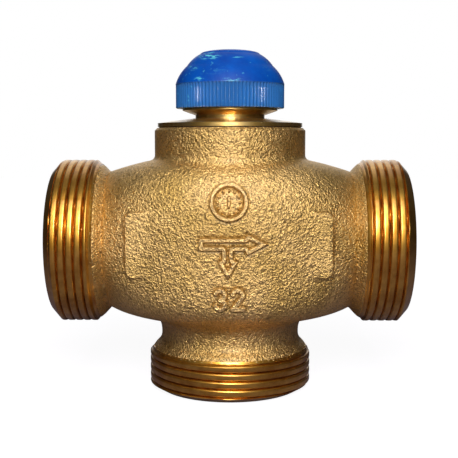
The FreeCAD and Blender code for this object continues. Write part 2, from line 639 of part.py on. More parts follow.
def gland_o_rings():
    section = "pin_ring_section - groove_gap"
    inner = "pin_radius + fit_gap"
    rings = [rubber_ring("pin_ring_" + place, inner, section, "%s + pin_ring_%s" % (GLAND_BOTTOM, place))
             for place in ("lower", "upper")]
    return joined("Compound", "gland_o_rings", Links=rings)


def gland_outer_ring():
    inner = "gland_radius - groove_gap - outer_ring_section"
    return rubber_ring("gland_outer_ring", inner, "outer_ring_section", HEAD_TOP + " - outer_ring_drop")


def retaining_ring(name, inner, outer, bottom, top):
    """Flat snap ring with an opening towards +X."""
    hoop = ring(name + "_hoop", inner, outer, bottom, top)
    opening = box(name + "_opening", ("0", "0 - clip_gap / 2", bottom),
                  (outer + " + clip_gap", "clip_gap / 2", top))
    return joined("Cut", name, Base=hoop, Tool=opening)


def guide_bush():
    bore = "stem_radius + fit_gap"
    wall = "plate_hole_radius - fit_gap"
    return turned("guide_bush", [
        (bore, PLATE_CLIP_BOTTOM),
        ("bush_flange_radius", PLATE_CLIP_BOTTOM),
        ("bush_flange_radius", PLATE_BOTTOM),
        (wall, PLATE_BOTTOM),
        (wall, PLATE_TOP + " + bush_proud"),
        (bore, PLATE_TOP + " + bush_proud")])


def return_spring():
    """Round wire wound on a helix between the seat plate and the collar."""
    coil = doc.addObject("Part::Helix", "return_spring_line")
    coil.setExpression("Radius", bound("spring_mean_radius"))
    coil.setExpression("Height", bound("spring_length - spring_wire - 2 * fit_gap"))
    coil.setExpression("Pitch", bound("(spring_length - spring_wire - 2 * fit_gap) / spring_turns"))
    coil.setExpression("Placement.Base.z", bound(PLATE_TOP + " + spring_wire / 2 + fit_gap"))
    wire = doc.addObject("Part::Circle", "return_spring_wire")
    wire.setExpression("Radius", bound("spring_wire / 2"))
    wire.Placement = FreeCAD.Placement(Vector(0, 0, 0), FreeCAD.Rotation(Vector(1, 0, 0), 90))
    wire.setExpression("Placement.Base.x", bound("spring_mean_radius"))
    wire.setExpression("Placement.Base.z", bound(PLATE_TOP + " + spring_wire / 2 + fit_gap"))
    spring = doc.addObject("Part::Sweep", "return_spring")
    spring.Sections = [wire]
    spring.Spine = (coil, ["Edge1"])
    spring.Solid = True
    spring.Frenet = True
    return spring


def stem():
    """Stem: socket for the pin, groove for the collar's ring, shoulder, and the spindle below."""
    socket = "pin_radius + groove_gap"
    groove = "stem_radius - collar_clip_groove"
    return turned("stem", [
        ("0", SPINDLE_END),
        ("spindle_radius", SPINDLE_END),
        ("spindle_radius", UPPER_CARRIER_TOP),
        ("stem_radius", UPPER_CARRIER_TOP),
        ("stem_radius", COLLAR_TOP + " - groove_gap"),
        (groove, COLLAR_TOP + " - groove_gap"),
        (groove, COLLAR_CLIP_TOP + " + groove_gap"),
        ("stem_radius", COLLAR_CLIP_TOP + " + groove_gap"),
        ("stem_radius", STEM_TOP),
        (socket, STEM_TOP),
        (socket, STEM_TOP + " - pin_socket_depth"),
        ("0", STEM_TOP + " - pin_socket_depth")])


def actuator_pin():
    return turned("actuator_pin", [
        ("0", STEM_TOP + " - pin_socket_depth"),
        ("pin_radius", STEM_TOP + " - pin_socket_depth"),
        ("pin_radius", PIN_TOP + " - pin_chamfer"),
        ("pin_radius - pin_chamfer", PIN_TOP),
        ("0", PIN_TOP)])


def disc_carrier(name, hub_end, hub_root, back):
    """Disc with a hub through its rubber ring. The hub may point up or down."""
    rim = "seat_radius + seat_lip_width + carrier_margin"
    bore = "spindle_radius + groove_gap"
    corners = [(bore, hub_end), ("hub_radius - fit_gap", hub_end), ("hub_radius - fit_gap", hub_root),
               (rim, hub_root), (rim, back), (bore, back)]
    return turned(name, corners)


def lock_nut():
    corner = "nut_flats / 2 / cos(30 deg)"
    bore = "spindle_radius + groove_gap"
    blank = turned("lock_nut_blank", [
        (bore, NUT_BOTTOM),
        ("%s - 2 * nut_chamfer" % corner, NUT_BOTTOM),
        (corner, NUT_BOTTOM + " + nut_chamfer"),
        (corner, LOWER_CARRIER_BOTTOM + " - nut_chamfer"),
        ("%s - 2 * nut_chamfer" % corner, LOWER_CARRIER_BOTTOM),
        (bore, LOWER_CARRIER_BOTTOM)])
    bar = hexagon("lock_nut_bar", "nut_flats", NUT_BOTTOM, LOWER_CARRIER_BOTTOM)
    return joined("MultiCommon", "lock_nut", Shapes=[blank, bar])


def protective_cap():
    """Moulded cap: domed shell with a boss for the pin, and a knurled skirt round the head thread."""
    thread = "head_thread_radius + cap_thread_gap"
    step = HEAD_TOP + " + stem_stroke + cap_roof_reserve"
    cap = turned("protective_cap", [
        (thread + " + cap_lead", CAP_RIM),
        ("cap_radius", CAP_RIM),
        ("cap_radius", KNURL_TOP),
        ("dome_base_radius", KNURL_TOP, "dome_side_curve"),
        ("dome_side_radius", DOME_SIDE, "dome_shoulder_curve"),
        ("dome_shoulder_radius", DOME_SHOULDER, AXIAL),
        ("0", DOME_TOP),
        ("0", PIN_TOP + " + press_gap"),
        ("boss_radius", PIN_TOP + " + press_gap"),
        ("boss_radius", DOME_TOP + " - 1.2 * cap_wall"),
        ("dome_shoulder_radius - cap_wall / 3", DOME_SHOULDER + " - 1.15 * cap_wall"),
        ("dome_side_radius - cap_wall", DOME_SIDE + " - cap_wall / 2"),
        ("head_thread_radius - head_chamfer", step),
        (thread, step),
        (thread, CAP_RIM + " + cap_lead")])
    sketch = closed_sketch(cap, "knurl_notch", "XY_Plane", [
        ("cap_radius - knurl_depth", "0", None),
        ("cap_radius + knurl_depth", "0 - knurl_width", None),
        ("cap_radius + knurl_depth", "knurl_width", None)])
    sketch.setExpression("AttachmentOffset.Base.z", bound(CAP_RIM))
    notch = cap.newObject("PartDesign::Pocket", "knurl_cut")
    notch.Profile = sketch
    notch.Reversed = True
    notch.setExpression("Length", bound("knurl_height"))
    sketch.Visibility = False
    doc.recompute()
    knurl = cap.newObject("PartDesign::PolarPattern", "knurl")
    knurl.Originals = [notch]
    knurl.Axis = (origin_feature(cap, "Z_Axis"), [""])
    knurl.Angle = 360
    knurl.setExpression("Occurrences", bound("knurl_count"))
    cap.Tip = knurl
    return cap


PIECES = [
    valve_body(),
    bonnet(),
    ring("bonnet_gasket", "neck_bore_radius + neck_chamfer", "gasket_radius", NECK_TOP, FLANGE_BOTTOM),
    gland_nut(),
    gland_o_rings(),
    gland_outer_ring(),
    ring("spring_seat_plate", "plate_hole_radius", "plate_pocket_radius - fit_gap",
         PLATE_BOTTOM, PLATE_TOP),
    retaining_ring("plate_clip", "plate_pocket_radius + plate_clip_groove - fit_gap - plate_clip_width",
                   "plate_pocket_radius + plate_clip_groove - fit_gap", PLATE_CLIP_BOTTOM, PLATE_BOTTOM),
    guide_bush(),
    return_spring(),
    actuator_pin(),
    stem(),
    ring("spring_collar", "stem_radius + groove_gap", "collar_radius", COLLAR_BOTTOM, COLLAR_TOP),
    retaining_ring("collar_clip", "stem_radius - collar_clip_groove + groove_gap",
                   "stem_radius - collar_clip_groove + groove_gap + collar_clip_width",
                   COLLAR_TOP, COLLAR_CLIP_TOP),
    disc_carrier("upper_disc_carrier", UPPER_SEAL_BOTTOM, UPPER_SEAL_TOP, UPPER_CARRIER_TOP),
    ring("upper_disc_seal", "hub_radius", "seat_radius + seat_lip_width",
         UPPER_SEAL_BOTTOM, UPPER_SEAL_TOP),
    ring("upper_disc_washer", "spindle_radius + groove_gap", "washer_radius",
         UPPER_WASHER_BOTTOM, UPPER_SEAL_BOTTOM),
    ring("spacer_sleeve", "spindle_radius + groove_gap", "sleeve_radius",
         LOWER_WASHER_TOP, UPPER_WASHER_BOTTOM),
    ring("lower_disc_washer", "spindle_radius + groove_gap", "washer_radius",
         LOWER_SEAL_TOP, LOWER_WASHER_TOP),
    ring("lower_disc_seal", "hub_radius", "seat_radius + seat_lip_width",
         LOWER_SEAL_BOTTOM, LOWER_SEAL_TOP),
    disc_carrier("lower_disc_carrier", LOWER_SEAL_TOP, LOWER_SEAL_BOTTOM, LOWER_CARRIER_BOTTOM),
    lock_nut(),
    protective_cap(),
]
doc.recompute()

for thing in doc.Objects:
    if {"Invalid", "Error"} & set(thing.State):
        raise RuntimeError("%s did not build: %s" % (thing.Label, thing.State))

os.makedirs("parts", exist_ok=True)
for piece in PIECES:
    piece.Label = piece.Name
    if piece.Shape.isNull() or not piece.Shape.isValid() or not piece.Shape.Solids:
        raise RuntimeError("%s has no sound shape" % piece.Label)
for piece in PIECES:
    piece.Shape.exportStep("parts/%s.step" % piece.Label)
    extent = piece.Shape.BoundBox
    print("%-20s %d solid, %9.1f mm3, z %.2f to %.2f" % (
        piece.Label, len(piece.Shape.Solids), piece.Shape.Volume, extent.ZMin, extent.ZMax))
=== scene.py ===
"""Looks of the three-way distribution valve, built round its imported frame.

The pieces' sizes are in millimetres, with levels that count from the axis of the run. Lights,
camera and floor are in metres, with levels that count from the frame's origin.
X runs along the straight way, -Y is the face with the flow mark, and +Z runs up the stem.
"""

import json
import math

import bpy
import numpy as np
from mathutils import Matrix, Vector


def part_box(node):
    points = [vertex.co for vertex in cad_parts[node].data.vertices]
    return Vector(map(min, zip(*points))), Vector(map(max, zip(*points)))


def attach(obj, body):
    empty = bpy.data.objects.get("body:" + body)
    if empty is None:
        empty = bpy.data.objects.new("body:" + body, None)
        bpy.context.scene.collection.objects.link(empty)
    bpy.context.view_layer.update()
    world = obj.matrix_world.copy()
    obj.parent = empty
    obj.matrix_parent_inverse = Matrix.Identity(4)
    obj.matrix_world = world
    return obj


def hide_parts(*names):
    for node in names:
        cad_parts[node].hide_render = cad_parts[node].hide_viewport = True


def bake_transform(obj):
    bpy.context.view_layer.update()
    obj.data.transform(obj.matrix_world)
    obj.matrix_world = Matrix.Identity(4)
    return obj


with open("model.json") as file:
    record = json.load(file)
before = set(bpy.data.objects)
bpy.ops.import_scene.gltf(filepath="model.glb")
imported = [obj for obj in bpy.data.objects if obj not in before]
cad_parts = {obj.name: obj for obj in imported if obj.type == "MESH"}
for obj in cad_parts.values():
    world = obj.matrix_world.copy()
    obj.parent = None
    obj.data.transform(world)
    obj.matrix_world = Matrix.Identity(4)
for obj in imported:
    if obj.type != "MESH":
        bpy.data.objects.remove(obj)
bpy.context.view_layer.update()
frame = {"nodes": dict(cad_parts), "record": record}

MM = 0.001


# Sizes taken from the frame

def mount(name):
    """A mount's row in the record."""
    return next(row for row in frame["record"]["mounts"] if row["name"] == name)


def mount_place(name):
    """A mount's place in millimetres, counted from the frame's origin."""
    return [part / MM for part in mount(name)["pos_m"]]


def node_box(name):
    """A node's lowest and highest corner in millimetres, with levels from the run's axis."""
    low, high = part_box(name)
    return ([low[0] / MM, low[1] / MM, low[2] / MM - AXIS],
            [high[0] / MM, high[1] / MM, high[2] / MM - AXIS])


AXIS = mount_place("outlet_face")[2]
RUN_END = mount_place("outlet_face")[0]
BRANCH_END = AXIS
PORT_BORE = mount("outlet_bore")["dims"]["r_mm"]
NECK_TOP = node_box("valve_body")[1][2]
BELLY_DEPTH = node_box("valve_body")[1][1]
HEAD_TOP = node_box("bonnet")[1][2]
CAP_RIM = node_box("protective_cap")[0][2]
DOME_TOP = node_box("protective_cap")[1][2]
CAP_RADIUS = node_box("protective_cap")[1][0]

# Casting
BELLY_END = 35.2
BELLY_END_RADIUS = 20.5
BELLY_END_DROP = 19.7
BELLY_RISE = 26.0
BELLY_DROP = 22.2
BELLY_TAPER = 2.2
CIRCLE_POWER = 2
TOP_SQUARE = 4.0
BOTTOM_SQUARE = 7.0
NECK_RADIUS = 22.2
NECK_BORE = 19.0
NECK_CHAMFER = 0.75
NECK_BLEND = 1.5
BRANCH_BLEND = 5.5
PORT_BLEND = 0.7
PORT_NECK = 20.4
SHOULDER_RADIUS = 23.2
SHOULDER_EDGE = 38.3
SHOULDER_ROUND = 1.4
SIDE_FOOT = 34.9
SIDE_FOOT_RADIUS = 19.5
SIDE_CAST_END = 38.3
BRANCH_CONE_FOOT = 29.0
BRANCH_NECK_LAP = 1
BRANCH_CONE_BLEND = 1.2
BRANCH_SHOULDER_EDGE = 31.75
BRANCH_CAST_END = 32.0
CAST_EDGE = 0.3
SIDE_SLOPE = (SHOULDER_RADIUS - SIDE_FOOT_RADIUS) / (SHOULDER_EDGE - SIDE_FOOT)
BRANCH_SLOPE = (SHOULDER_RADIUS - PORT_NECK) / (BRANCH_SHOULDER_EDGE - BRANCH_CONE_FOOT)

# Pads
PAD_INNER = 20.0
PAD_OUTER = 28.3
PAD_FACE = 25.1
PAD_RISE = 10.2
PAD_DROP = 7.8
PAD_CORNER = 2.2
PAD_EDGE = 0.45
PAD_BLEND = 0.7

# Water ways
BRANCH_BORE_TOP = -23.5
CAST_WAY = 15.8
SEAT_RADIUS = 12.0
SEAT_LIP = 13.4
LIP_HEIGHT = 1.0
LOWER_SEAT = -11.0
UPPER_SEAT = 7.0
CHAMBER_RADIUS = 14.5
CHAMBER_FLOOR = -8.0
CHAMBER_ROOF = 4.0
UPPER_CHAMBER_RADIUS = 17.5
UPPER_CHAMBER_TOP = 21.0
WELL_LAP = 1
PASSAGE_START = 30.0
INLET_SLOT = {"start": 20.0, "level": -2.0, "depth": 13.5, "half": 5.4}
INLET_SLOT_END = CHAMBER_RADIUS - 8
OUTLET_RISER = {"start": 18.0, "level": 13.8, "depth": 14.0, "half": 6.6}

# Port threads and machined ends
PIPE_PITCH = 2.309
PIPE_DEPTH = 1.1
PIPE_CREST = 23.9
PIPE_ROUNDNESS = 5.2
SIDE_PHASE = 0.25
BRANCH_PHASE = 0.42
FACE_RADIUS = 21.2
FACE_EDGE = 0.3
BORE_CHAMFER = 0.4
BORE_LINING = 0.03
SIDE_LEAD = 2.4
BRANCH_LEAD = 1.6
SIDE_THREAD_END = RUN_END - 12.8
BRANCH_THREAD_END = BRANCH_END - 11.3
THREAD_FADE = 0.7
THREAD_ROW = 0.1
THREAD_COLUMNS = 240
COLLAR_RADIUS = 23.25
SLEEVE_LAP = 0.4
SLEEVE_CREASE = 50.0

# Meshing of the casting
CAST_PITCH = 0.755
CAST_MARGIN = 2
CAST_CREASE = 42.0
CUT_HALVINGS = 12
SLOPE_STEP = 0.02
MIDDLE_PULL = 0.03
MERGE_DIGITS = 5
NEVER_ZERO = 1e-6
SLOPE_NEVER_ZERO = 1e-9
FAR_AWAY = 1e9

# Front patch that carries the raised marks, in finer faces
MARK_DEPTH = 19.0
MARK_REACH = 13.0
MARK_LOW = -18.6
MARK_TOP = 19.4
MARK_PARTS = 4

# Raised marks
MARK_RIDGE = 1.15
MARK_HEIGHT = 0.8
MARK_SLOPE = 0.3
MOAT_WIDTH = 0.5
MOAT_DEPTH = 0.2
ARC_STEPS = 14
DIGIT_STROKE = 1.25
DIGIT_LOW = -16.4
DIGIT_HIGH = -10.0
DIGIT_GAP = 4.7
TWO_BOWL = 1.05
TWO_FOOT_LEFT = 1.1
TWO_FOOT_RIGHT = 1.2
RING_LEVEL = 13.0
RING_RADIUS = 4.6
RING_WIDTH = MARK_RIDGE * 0.9
RING_DOTS = 12
RING_DOT_RADIUS = 3.05
DOT_SIZE = 0.32
DOT_HEIGHT = 0.7
POINTER = [(0.0, RING_LEVEL - 1.2), (0.0, RING_LEVEL + 1.4)]
POINTER_WIDTH = 0.6
POINTER_HEIGHT = 0.8

# Head and cap
HEAD_RADIUS = 14.0
HEAD_CHAMFER = 0.7
STROKE = 3.0
HEAD_ROOM = HEAD_TOP + STROKE + 0.1
CAP_BORE = 14.08
CAP_BORE_CHAMFER = 0.45
CAP_WALL = 1.9
CROWN_WALL = 1.2 * CAP_WALL
SHOULDER_WALL = 1.15 * CAP_WALL
CAP_CORE = 0.35
CORE_SKIN = 0.02
BOSS_RADIUS = 3.5
BOSS_LEVEL = node_box("actuator_pin")[1][2] + 0.03
KNURL_HEIGHT = 6.9
KNURL_TOP = CAP_RIM + KNURL_HEIGHT
SKIRT_START = 0.35
SKIRT_LENGTH = KNURL_HEIGHT - 0.5
SKIRT_ROWS = 5
# Rows are (inset from the cap's radius, rise above the rim or the knurl's top, share of the ribs)
RIM_ROWS = [(0.35, 0.0, 0.6), (0.1, 0.12, 1.0), (0.0, SKIRT_START, 1.0)]
LIP_ROWS = [(0.0, -0.05, 0.55), (0.02, 0.1, 0.0)]
DOME_BASE = 15.95
DOME_FOOT = 0.25
DOME_SIDE_RADIUS = 12.65
DOME_SIDE_HEIGHT = 5.4
DOME_SIDE_SAG = 0.42
DOME_SIDE_STEPS = 12
DOME_SHOULDER_RADIUS = 8.7
DOME_SHOULDER_SAG = 0.35
DOME_SHOULDER_STEPS = 8
DOME_CROWN = 1.2
CROWN_ANGLES = range(8, 90, 9)
RIBS = 90
RIB_COLUMNS = 10
RIB_DEPTH = 0.43
RIB_FLAT = 0.86
RIB_ROUND = 0.2
CAP_CREASE = 60.0


# Meshes

def new_piece(name, points, faces, body, material, crease, stands_for=()):
    """Closed mesh piece from points in millimetres, riding on a body of the frame."""
    mesh = bpy.data.meshes.new(name)
    points = np.asarray(points, dtype=float) * MM
    points[:, 2] += AXIS * MM
    mesh.from_pydata(points.tolist(), [], [list(face) for face in faces])
    mesh.validate()
    mesh.polygons.foreach_set("use_smooth", [True] * len(mesh.polygons))
    mesh.set_sharp_from_angle(angle=math.radians(crease))
    piece = bpy.data.objects.new(name, mesh)
    bpy.context.scene.collection.objects.link(piece)
    mesh.materials.append(material)
    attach(piece, body)
    if stands_for:
        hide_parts(*stands_for)
    return piece


def smooth_min(first, second, blend):
    """The smaller of two, rounded where they meet."""
    share = np.clip(0.5 + 0.5 * (second - first) / blend, 0, 1)
    return second + (first - second) * share - blend * share * (1 - share)


def smooth_max(first, second, blend):
    """The larger of two, rounded where they meet."""
    return -smooth_min(-first, -second, blend)


# Fields, which are below zero inside their form

def oval_field(across, up, half_width, half_height, power):
    """Field of an oval that gets boxier as its power grows."""
    gauge = ((np.abs(across) / half_width) ** power
             + (np.abs(up) / half_height) ** power) ** (1 / power)
    return np.hypot(across, up) * (1 - 1 / np.maximum(gauge, NEVER_ZERO))


def belly_field(x, y, z):
    """Belly, round at its ends and boxy in the middle."""
    swell = 1 - np.clip(np.abs(x) / BELLY_END, 0, 1) ** BELLY_TAPER
    upper = z > 0
    depth = BELLY_END_RADIUS + (BELLY_DEPTH - BELLY_END_RADIUS) * swell
    end_reach = np.where(upper, BELLY_END_RADIUS, BELLY_END_DROP)
    reach = end_reach + (np.where(upper, BELLY_RISE, BELLY_DROP) - end_reach) * swell
    square = np.where(upper, TOP_SQUARE, BOTTOM_SQUARE)
    power = CIRCLE_POWER + (square - CIRCLE_POWER) * swell
    return oval_field(y, z, depth, reach, power)


def shoulder_profile(level_radius, behind, slope):
    """Radius at a distance behind the shoulder's edge: level, then round into the cone."""
    level = np.full_like(behind, level_radius)
    return smooth_min(level, level_radius - behind * slope, SHOULDER_ROUND)


def shoulder_field(along, around, slope, edge, end):
    """Cone that widens up to the shoulder's edge, then runs level to its end."""
    profile = shoulder_profile(SHOULDER_RADIUS, edge - along, slope)
    outside = (around - profile) / math.hypot(1, slope)
    chamfer = (around - SHOULDER_RADIUS + CAST_EDGE + along - end) / math.sqrt(2)
    return np.maximum(np.maximum(outside, chamfer), along - end)


def pad_field(x, y, z):
    """Flat pads on both flanks and both faces, with rounded corners."""
    half_width = (PAD_OUTER - PAD_INNER) / 2
    half_height = (PAD_RISE + PAD_DROP) / 2
    across = np.abs(np.abs(x) - (PAD_OUTER + PAD_INNER) / 2) - half_width + PAD_CORNER
    up = np.abs(z - (PAD_RISE - PAD_DROP) / 2) - half_height + PAD_CORNER
    corner = np.hypot(np.maximum(across, 0), np.maximum(up, 0))
    outline = corner + np.minimum(np.maximum(across, up), 0) - PAD_CORNER
    return smooth_max(outline, np.abs(y) - PAD_FACE, PAD_EDGE)


def outside_field(points):
    """Casting's outer skin, water ways not yet taken out."""
    x, y, z = points[:, 0], points[:, 1], points[:, 2]
    run = np.hypot(y, z)
    stem = np.hypot(x, y)
    field = np.maximum(belly_field(x, y, z), np.abs(x) - BELLY_END)
    chamfer = (stem - NECK_RADIUS + NECK_CHAMFER + (z - NECK_TOP)) / math.sqrt(2)
    neck = np.maximum(np.maximum(stem - NECK_RADIUS, chamfer), np.maximum(-z, z - NECK_TOP))
    field = smooth_min(field, neck, NECK_BLEND)
    branch = np.maximum(stem - PORT_NECK,
                        np.maximum(z, -z - BRANCH_CONE_FOOT - BRANCH_NECK_LAP))
    cone = shoulder_field(-z, stem, BRANCH_SLOPE, BRANCH_SHOULDER_EDGE, BRANCH_CAST_END)
    branch = smooth_min(branch, cone, BRANCH_CONE_BLEND)
    field = smooth_min(field, branch, BRANCH_BLEND)
    cones = shoulder_field(np.abs(x), run, SIDE_SLOPE, SHOULDER_EDGE, SIDE_CAST_END)
    field = smooth_min(field, cones, PORT_BLEND)
    field = smooth_min(field, pad_field(x, y, z), PAD_BLEND)
    field = np.maximum(field, -z - BRANCH_CAST_END)
    return np.maximum(field, np.abs(x) - SIDE_CAST_END)


def well_field(x, y, z):
    """Turned hollows on the stem's axis. Neighbours overlap, so that no film is left between."""
    stem = np.hypot(x, y)

    def hole(radius, low, high):
        return np.maximum(stem - radius, np.maximum(low - z, z - high))

    def groove(inner, outer, low, high):
        return np.maximum(np.maximum(inner - stem, stem - outer), np.maximum(low - z, z - high))

    flare = (stem - UPPER_CHAMBER_RADIUS - (z - UPPER_CHAMBER_TOP)) / math.sqrt(2)
    flare = np.maximum(np.maximum(flare, stem - NECK_BORE), UPPER_CHAMBER_TOP - z)
    steps = [
        hole(PORT_BORE, -2 * BRANCH_END, BRANCH_BORE_TOP),
        hole(CAST_WAY, BRANCH_BORE_TOP - WELL_LAP, LOWER_SEAT),
        groove(SEAT_LIP, CAST_WAY, LOWER_SEAT - WELL_LAP, LOWER_SEAT + LIP_HEIGHT),
        hole(SEAT_RADIUS, LOWER_SEAT - WELL_LAP, CHAMBER_FLOOR + WELL_LAP),
        hole(CHAMBER_RADIUS, CHAMBER_FLOOR, CHAMBER_ROOF),
        hole(SEAT_RADIUS, CHAMBER_ROOF - WELL_LAP, UPPER_SEAT + WELL_LAP),
        groove(SEAT_LIP, UPPER_CHAMBER_RADIUS, UPPER_SEAT - LIP_HEIGHT, UPPER_SEAT + WELL_LAP),
        hole(UPPER_CHAMBER_RADIUS, UPPER_SEAT, UPPER_CHAMBER_TOP),
        flare]
    field = steps[0]
    for step in steps[1:]:
        field = np.minimum(field, step)
    return field


def passage_field(x, y, z, side, slot, inner_end):
    """Cast passage, round at the port and flat at the chamber."""
    along = side * x
    share = np.clip((PASSAGE_START - along) / (PASSAGE_START - slot["start"]), 0, 1)
    depth = CAST_WAY + (slot["depth"] - CAST_WAY) * share
    half = CAST_WAY + (slot["half"] - CAST_WAY) * share
    across = oval_field(y, z - slot["level"] * share, depth, half, CIRCLE_POWER + share)
    return np.maximum(across, np.maximum(inner_end - along, along - PASSAGE_START - WELL_LAP))


def water_field(x, y, z):
    """Everything that is hollow in the casting."""
    run_bores = np.maximum(np.hypot(y, z) - PORT_BORE, PASSAGE_START - np.abs(x))
    field = np.minimum(well_field(x, y, z), run_bores)
    field = np.minimum(field, passage_field(x, y, z, -1, INLET_SLOT, INLET_SLOT_END))
    return np.minimum(field, passage_field(x, y, z, 1, OUTLET_RISER, SEAT_LIP))


def casting_field(points):
    """Metal of the casting, its marks not yet raised."""
    x, y, z = points[:, 0], points[:, 1], points[:, 2]
    return np.maximum(outside_field(points), -water_field(x, y, z))


def slope_of(field, points):
    """Unit direction in which the field grows fastest."""
    slope = np.stack([field(points + shift) - field(points - shift)
                      for shift in np.eye(3) * SLOPE_STEP], 1)
    return slope / np.maximum(np.linalg.norm(slope, axis=1), SLOPE_NEVER_ZERO)[:, None]


# Surface of a field

def crossings(field, values, axes, pitch):
    """Where the field's zero level cuts the lattice: places, slopes and the four cells round."""
    places, rings = [], []
    cells = np.array(values.shape) - 1
    for axis in range(3):
        lower = np.moveaxis(values, axis, 0)[:-1]
        upper = np.moveaxis(values, axis, 0)[1:]
        cut = (lower < 0) != (upper < 0)
        found = np.argwhere(np.moveaxis(cut, 0, axis))
        first, second = (axis + 1) % 3, (axis + 2) % 3
        inside = np.all((found[:, [first, second]] > 0)
                        & (found[:, [first, second]] < cells[[first, second]]), axis=1)
        found = found[inside]
        start = np.stack([axes[k][found[:, k]] for k in range(3)], 1)
        near, far = np.zeros(len(found)), np.full(len(found), pitch)
        step = np.zeros(3)
        step[axis] = 1
        sign = values[tuple(found.T)] < 0
        for _ in range(CUT_HALVINGS):
            middle = (near + far) / 2
            same = (field(start + middle[:, None] * step) < 0) == sign
            near, far = np.where(same, middle, near), np.where(same, far, middle)
        places.append(start + ((near + far) / 2)[:, None] * step)
        ring = []
        for back_first, back_second in ((0, 0), (1, 0), (1, 1), (0, 1)):
            cell = found.copy()
            cell[:, first] -= back_first
            cell[:, second] -= back_second
            ring.append(np.ravel_multi_index(cell.T, cells))
        ring = np.stack(ring, 1)
        ring[~sign] = ring[~sign][:, ::-1]
        rings.append(ring)
    places = np.concatenate(places)
    return places, slope_of(field, places), np.concatenate(rings), cells


def contour(field, low, high, pitch):
    """Quads on the field's zero level, from one corner in each cell that the level crosses.

    A corner settles where the slopes round it meet, so edges stay crisp.
    """
    axes = [np.arange(a, b + pitch, pitch) for a, b in zip(low, high)]
    lattice = np.stack(np.meshgrid(*axes, indexing="ij"), -1)
    values = field(lattice.reshape(-1, 3)).reshape(lattice.shape[:3])
    places, slopes, rings, cells = crossings(field, values, axes, pitch)
    used, quads = np.unique(rings, return_inverse=True)
    quads = quads.reshape(-1, 4)
    owner = quads.reshape(-1)
    place = np.repeat(places, 4, axis=0)
    slope = np.repeat(slopes, 4, axis=0)
    count = np.bincount(owner).astype(float)

    def gathered(amounts):
        return np.bincount(owner, weights=amounts, minlength=len(used))

    middle = np.stack([gathered(place[:, k]) for k in range(3)], 1) / count[:, None]
    offset = np.einsum("ij,ij->i", slope, place - middle[owner])
    pull = np.stack([gathered(slope[:, k] * offset) for k in range(3)], 1)
    grip = np.empty((len(used), 3, 3))
    for row in range(3):
        for column in range(3):
            grip[:, row, column] = gathered(slope[:, row] * slope[:, column])
    grip += MIDDLE_PULL * np.eye(3)
    corner = middle + np.linalg.solve(grip, pull[:, :, None])[:, :, 0]
    cell = np.stack(np.unravel_index(used, cells), 1)
    floor = np.stack([axes[k][cell[:, k]] for k in range(3)], 1)
    return np.clip(corner, floor, floor + pitch), quads


def refined(points, quads, chosen, parts):
    """Splits the chosen quads parts by parts.

    Their neighbours take the new points into their own outline, so the mesh stays closed. The
    last result marks the points that may move: all new ones apart from those on the patch's rim.
    """
    corner = points[quads[chosen]]
    share = np.arange(parts + 1) / parts
    u, v = np.meshgrid(share, share, indexing="ij")
    u, v = u.reshape(-1), v.reshape(-1)
    weight = np.stack([(1 - u) * (1 - v), u * (1 - v), u * v, (1 - u) * v], 1)
    fine = np.einsum("gk,nkc->ngc", weight, corner).reshape(-1, 3)
    everything = np.concatenate([points, fine])
    _, first, merged = np.unique(np.round(everything, MERGE_DIGITS), axis=0,
                                 return_index=True, return_inverse=True)
    merged = merged.reshape(-1)
    lattice = merged[len(points):].reshape(-1, parts + 1, parts + 1)
    small = np.stack([lattice[:, :-1, :-1], lattice[:, 1:, :-1],
                      lattice[:, 1:, 1:], lattice[:, :-1, 1:]], -1)
    sides = {}
    for line in np.concatenate([lattice[:, :, 0], lattice[:, -1, :],
                                lattice[:, ::-1, -1], lattice[:, 0, ::-1]]):
        ends = int(min(line[0], line[-1])), int(max(line[0], line[-1]))
        sides.setdefault(ends, []).append(line)
    seams = {ends: lines[0] for ends, lines in sides.items() if len(lines) == 1}
    kept = merged[quads[~chosen]]
    fixed = np.zeros(len(first), dtype=bool)
    for line in seams.values():
        fixed[line] = True
    at_seam = np.isin(kept, np.unique(list(seams))).sum(1) > 1
    faces = kept[~at_seam].tolist()
    for face in kept[at_seam].tolist():
        outline = []
        for start, end in zip(face, face[1:] + face[:1]):
            outline.append(start)
            line = seams.get((min(start, end), max(start, end)))
            if line is not None:
                inner = line[1:-1].tolist()
                outline += inner if line[0] == start else inner[::-1]
        faces.append(outline)
    loose = np.zeros(len(first), dtype=bool)
    loose[small.reshape(-1)] = True
    return everything[first], faces + small.reshape(-1, 4).tolist(), loose & ~fixed


# Raised marks

def line_distance(u, v, start, end):
    """Distance to a straight line between two points."""
    (u0, v0), (u1, v1) = start, end
    du, dv = u1 - u0, v1 - v0
    share = np.clip(((u - u0) * du + (v - v0) * dv) / (du * du + dv * dv), 0, 1)
    return np.hypot(u - u0 - share * du, v - v0 - share * dv)


def stroke_distance(u, v, line):
    """Distance to an open line of points."""
    nearest = np.full(len(u), FAR_AWAY)
    for start, end in zip(line, line[1:]):
        nearest = np.minimum(nearest, line_distance(u, v, start, end))
    return nearest


def outline_distance(u, v, outline):
    """Distance to a closed outline, below zero inside it."""
    inside = np.zeros(len(u), dtype=bool)
    for (u0, v0), (u1, v1) in zip(outline, outline[1:] + outline[:1]):
        if v1 != v0:
            inside ^= ((v0 > v) != (v1 > v)) & (u < u0 + (v - v0) * (u1 - u0) / (v1 - v0))
    nearest = stroke_distance(u, v, outline + outline[:1])
    return np.where(inside, -nearest, nearest)


def arc(u, v, radius, start, end):
    """Points of an arc, angles in degrees."""
    turns = [math.radians(start + (end - start) * k / ARC_STEPS) for k in range(ARC_STEPS + 1)]
    return [(u + radius * math.cos(turn), v + radius * math.sin(turn)) for turn in turns]


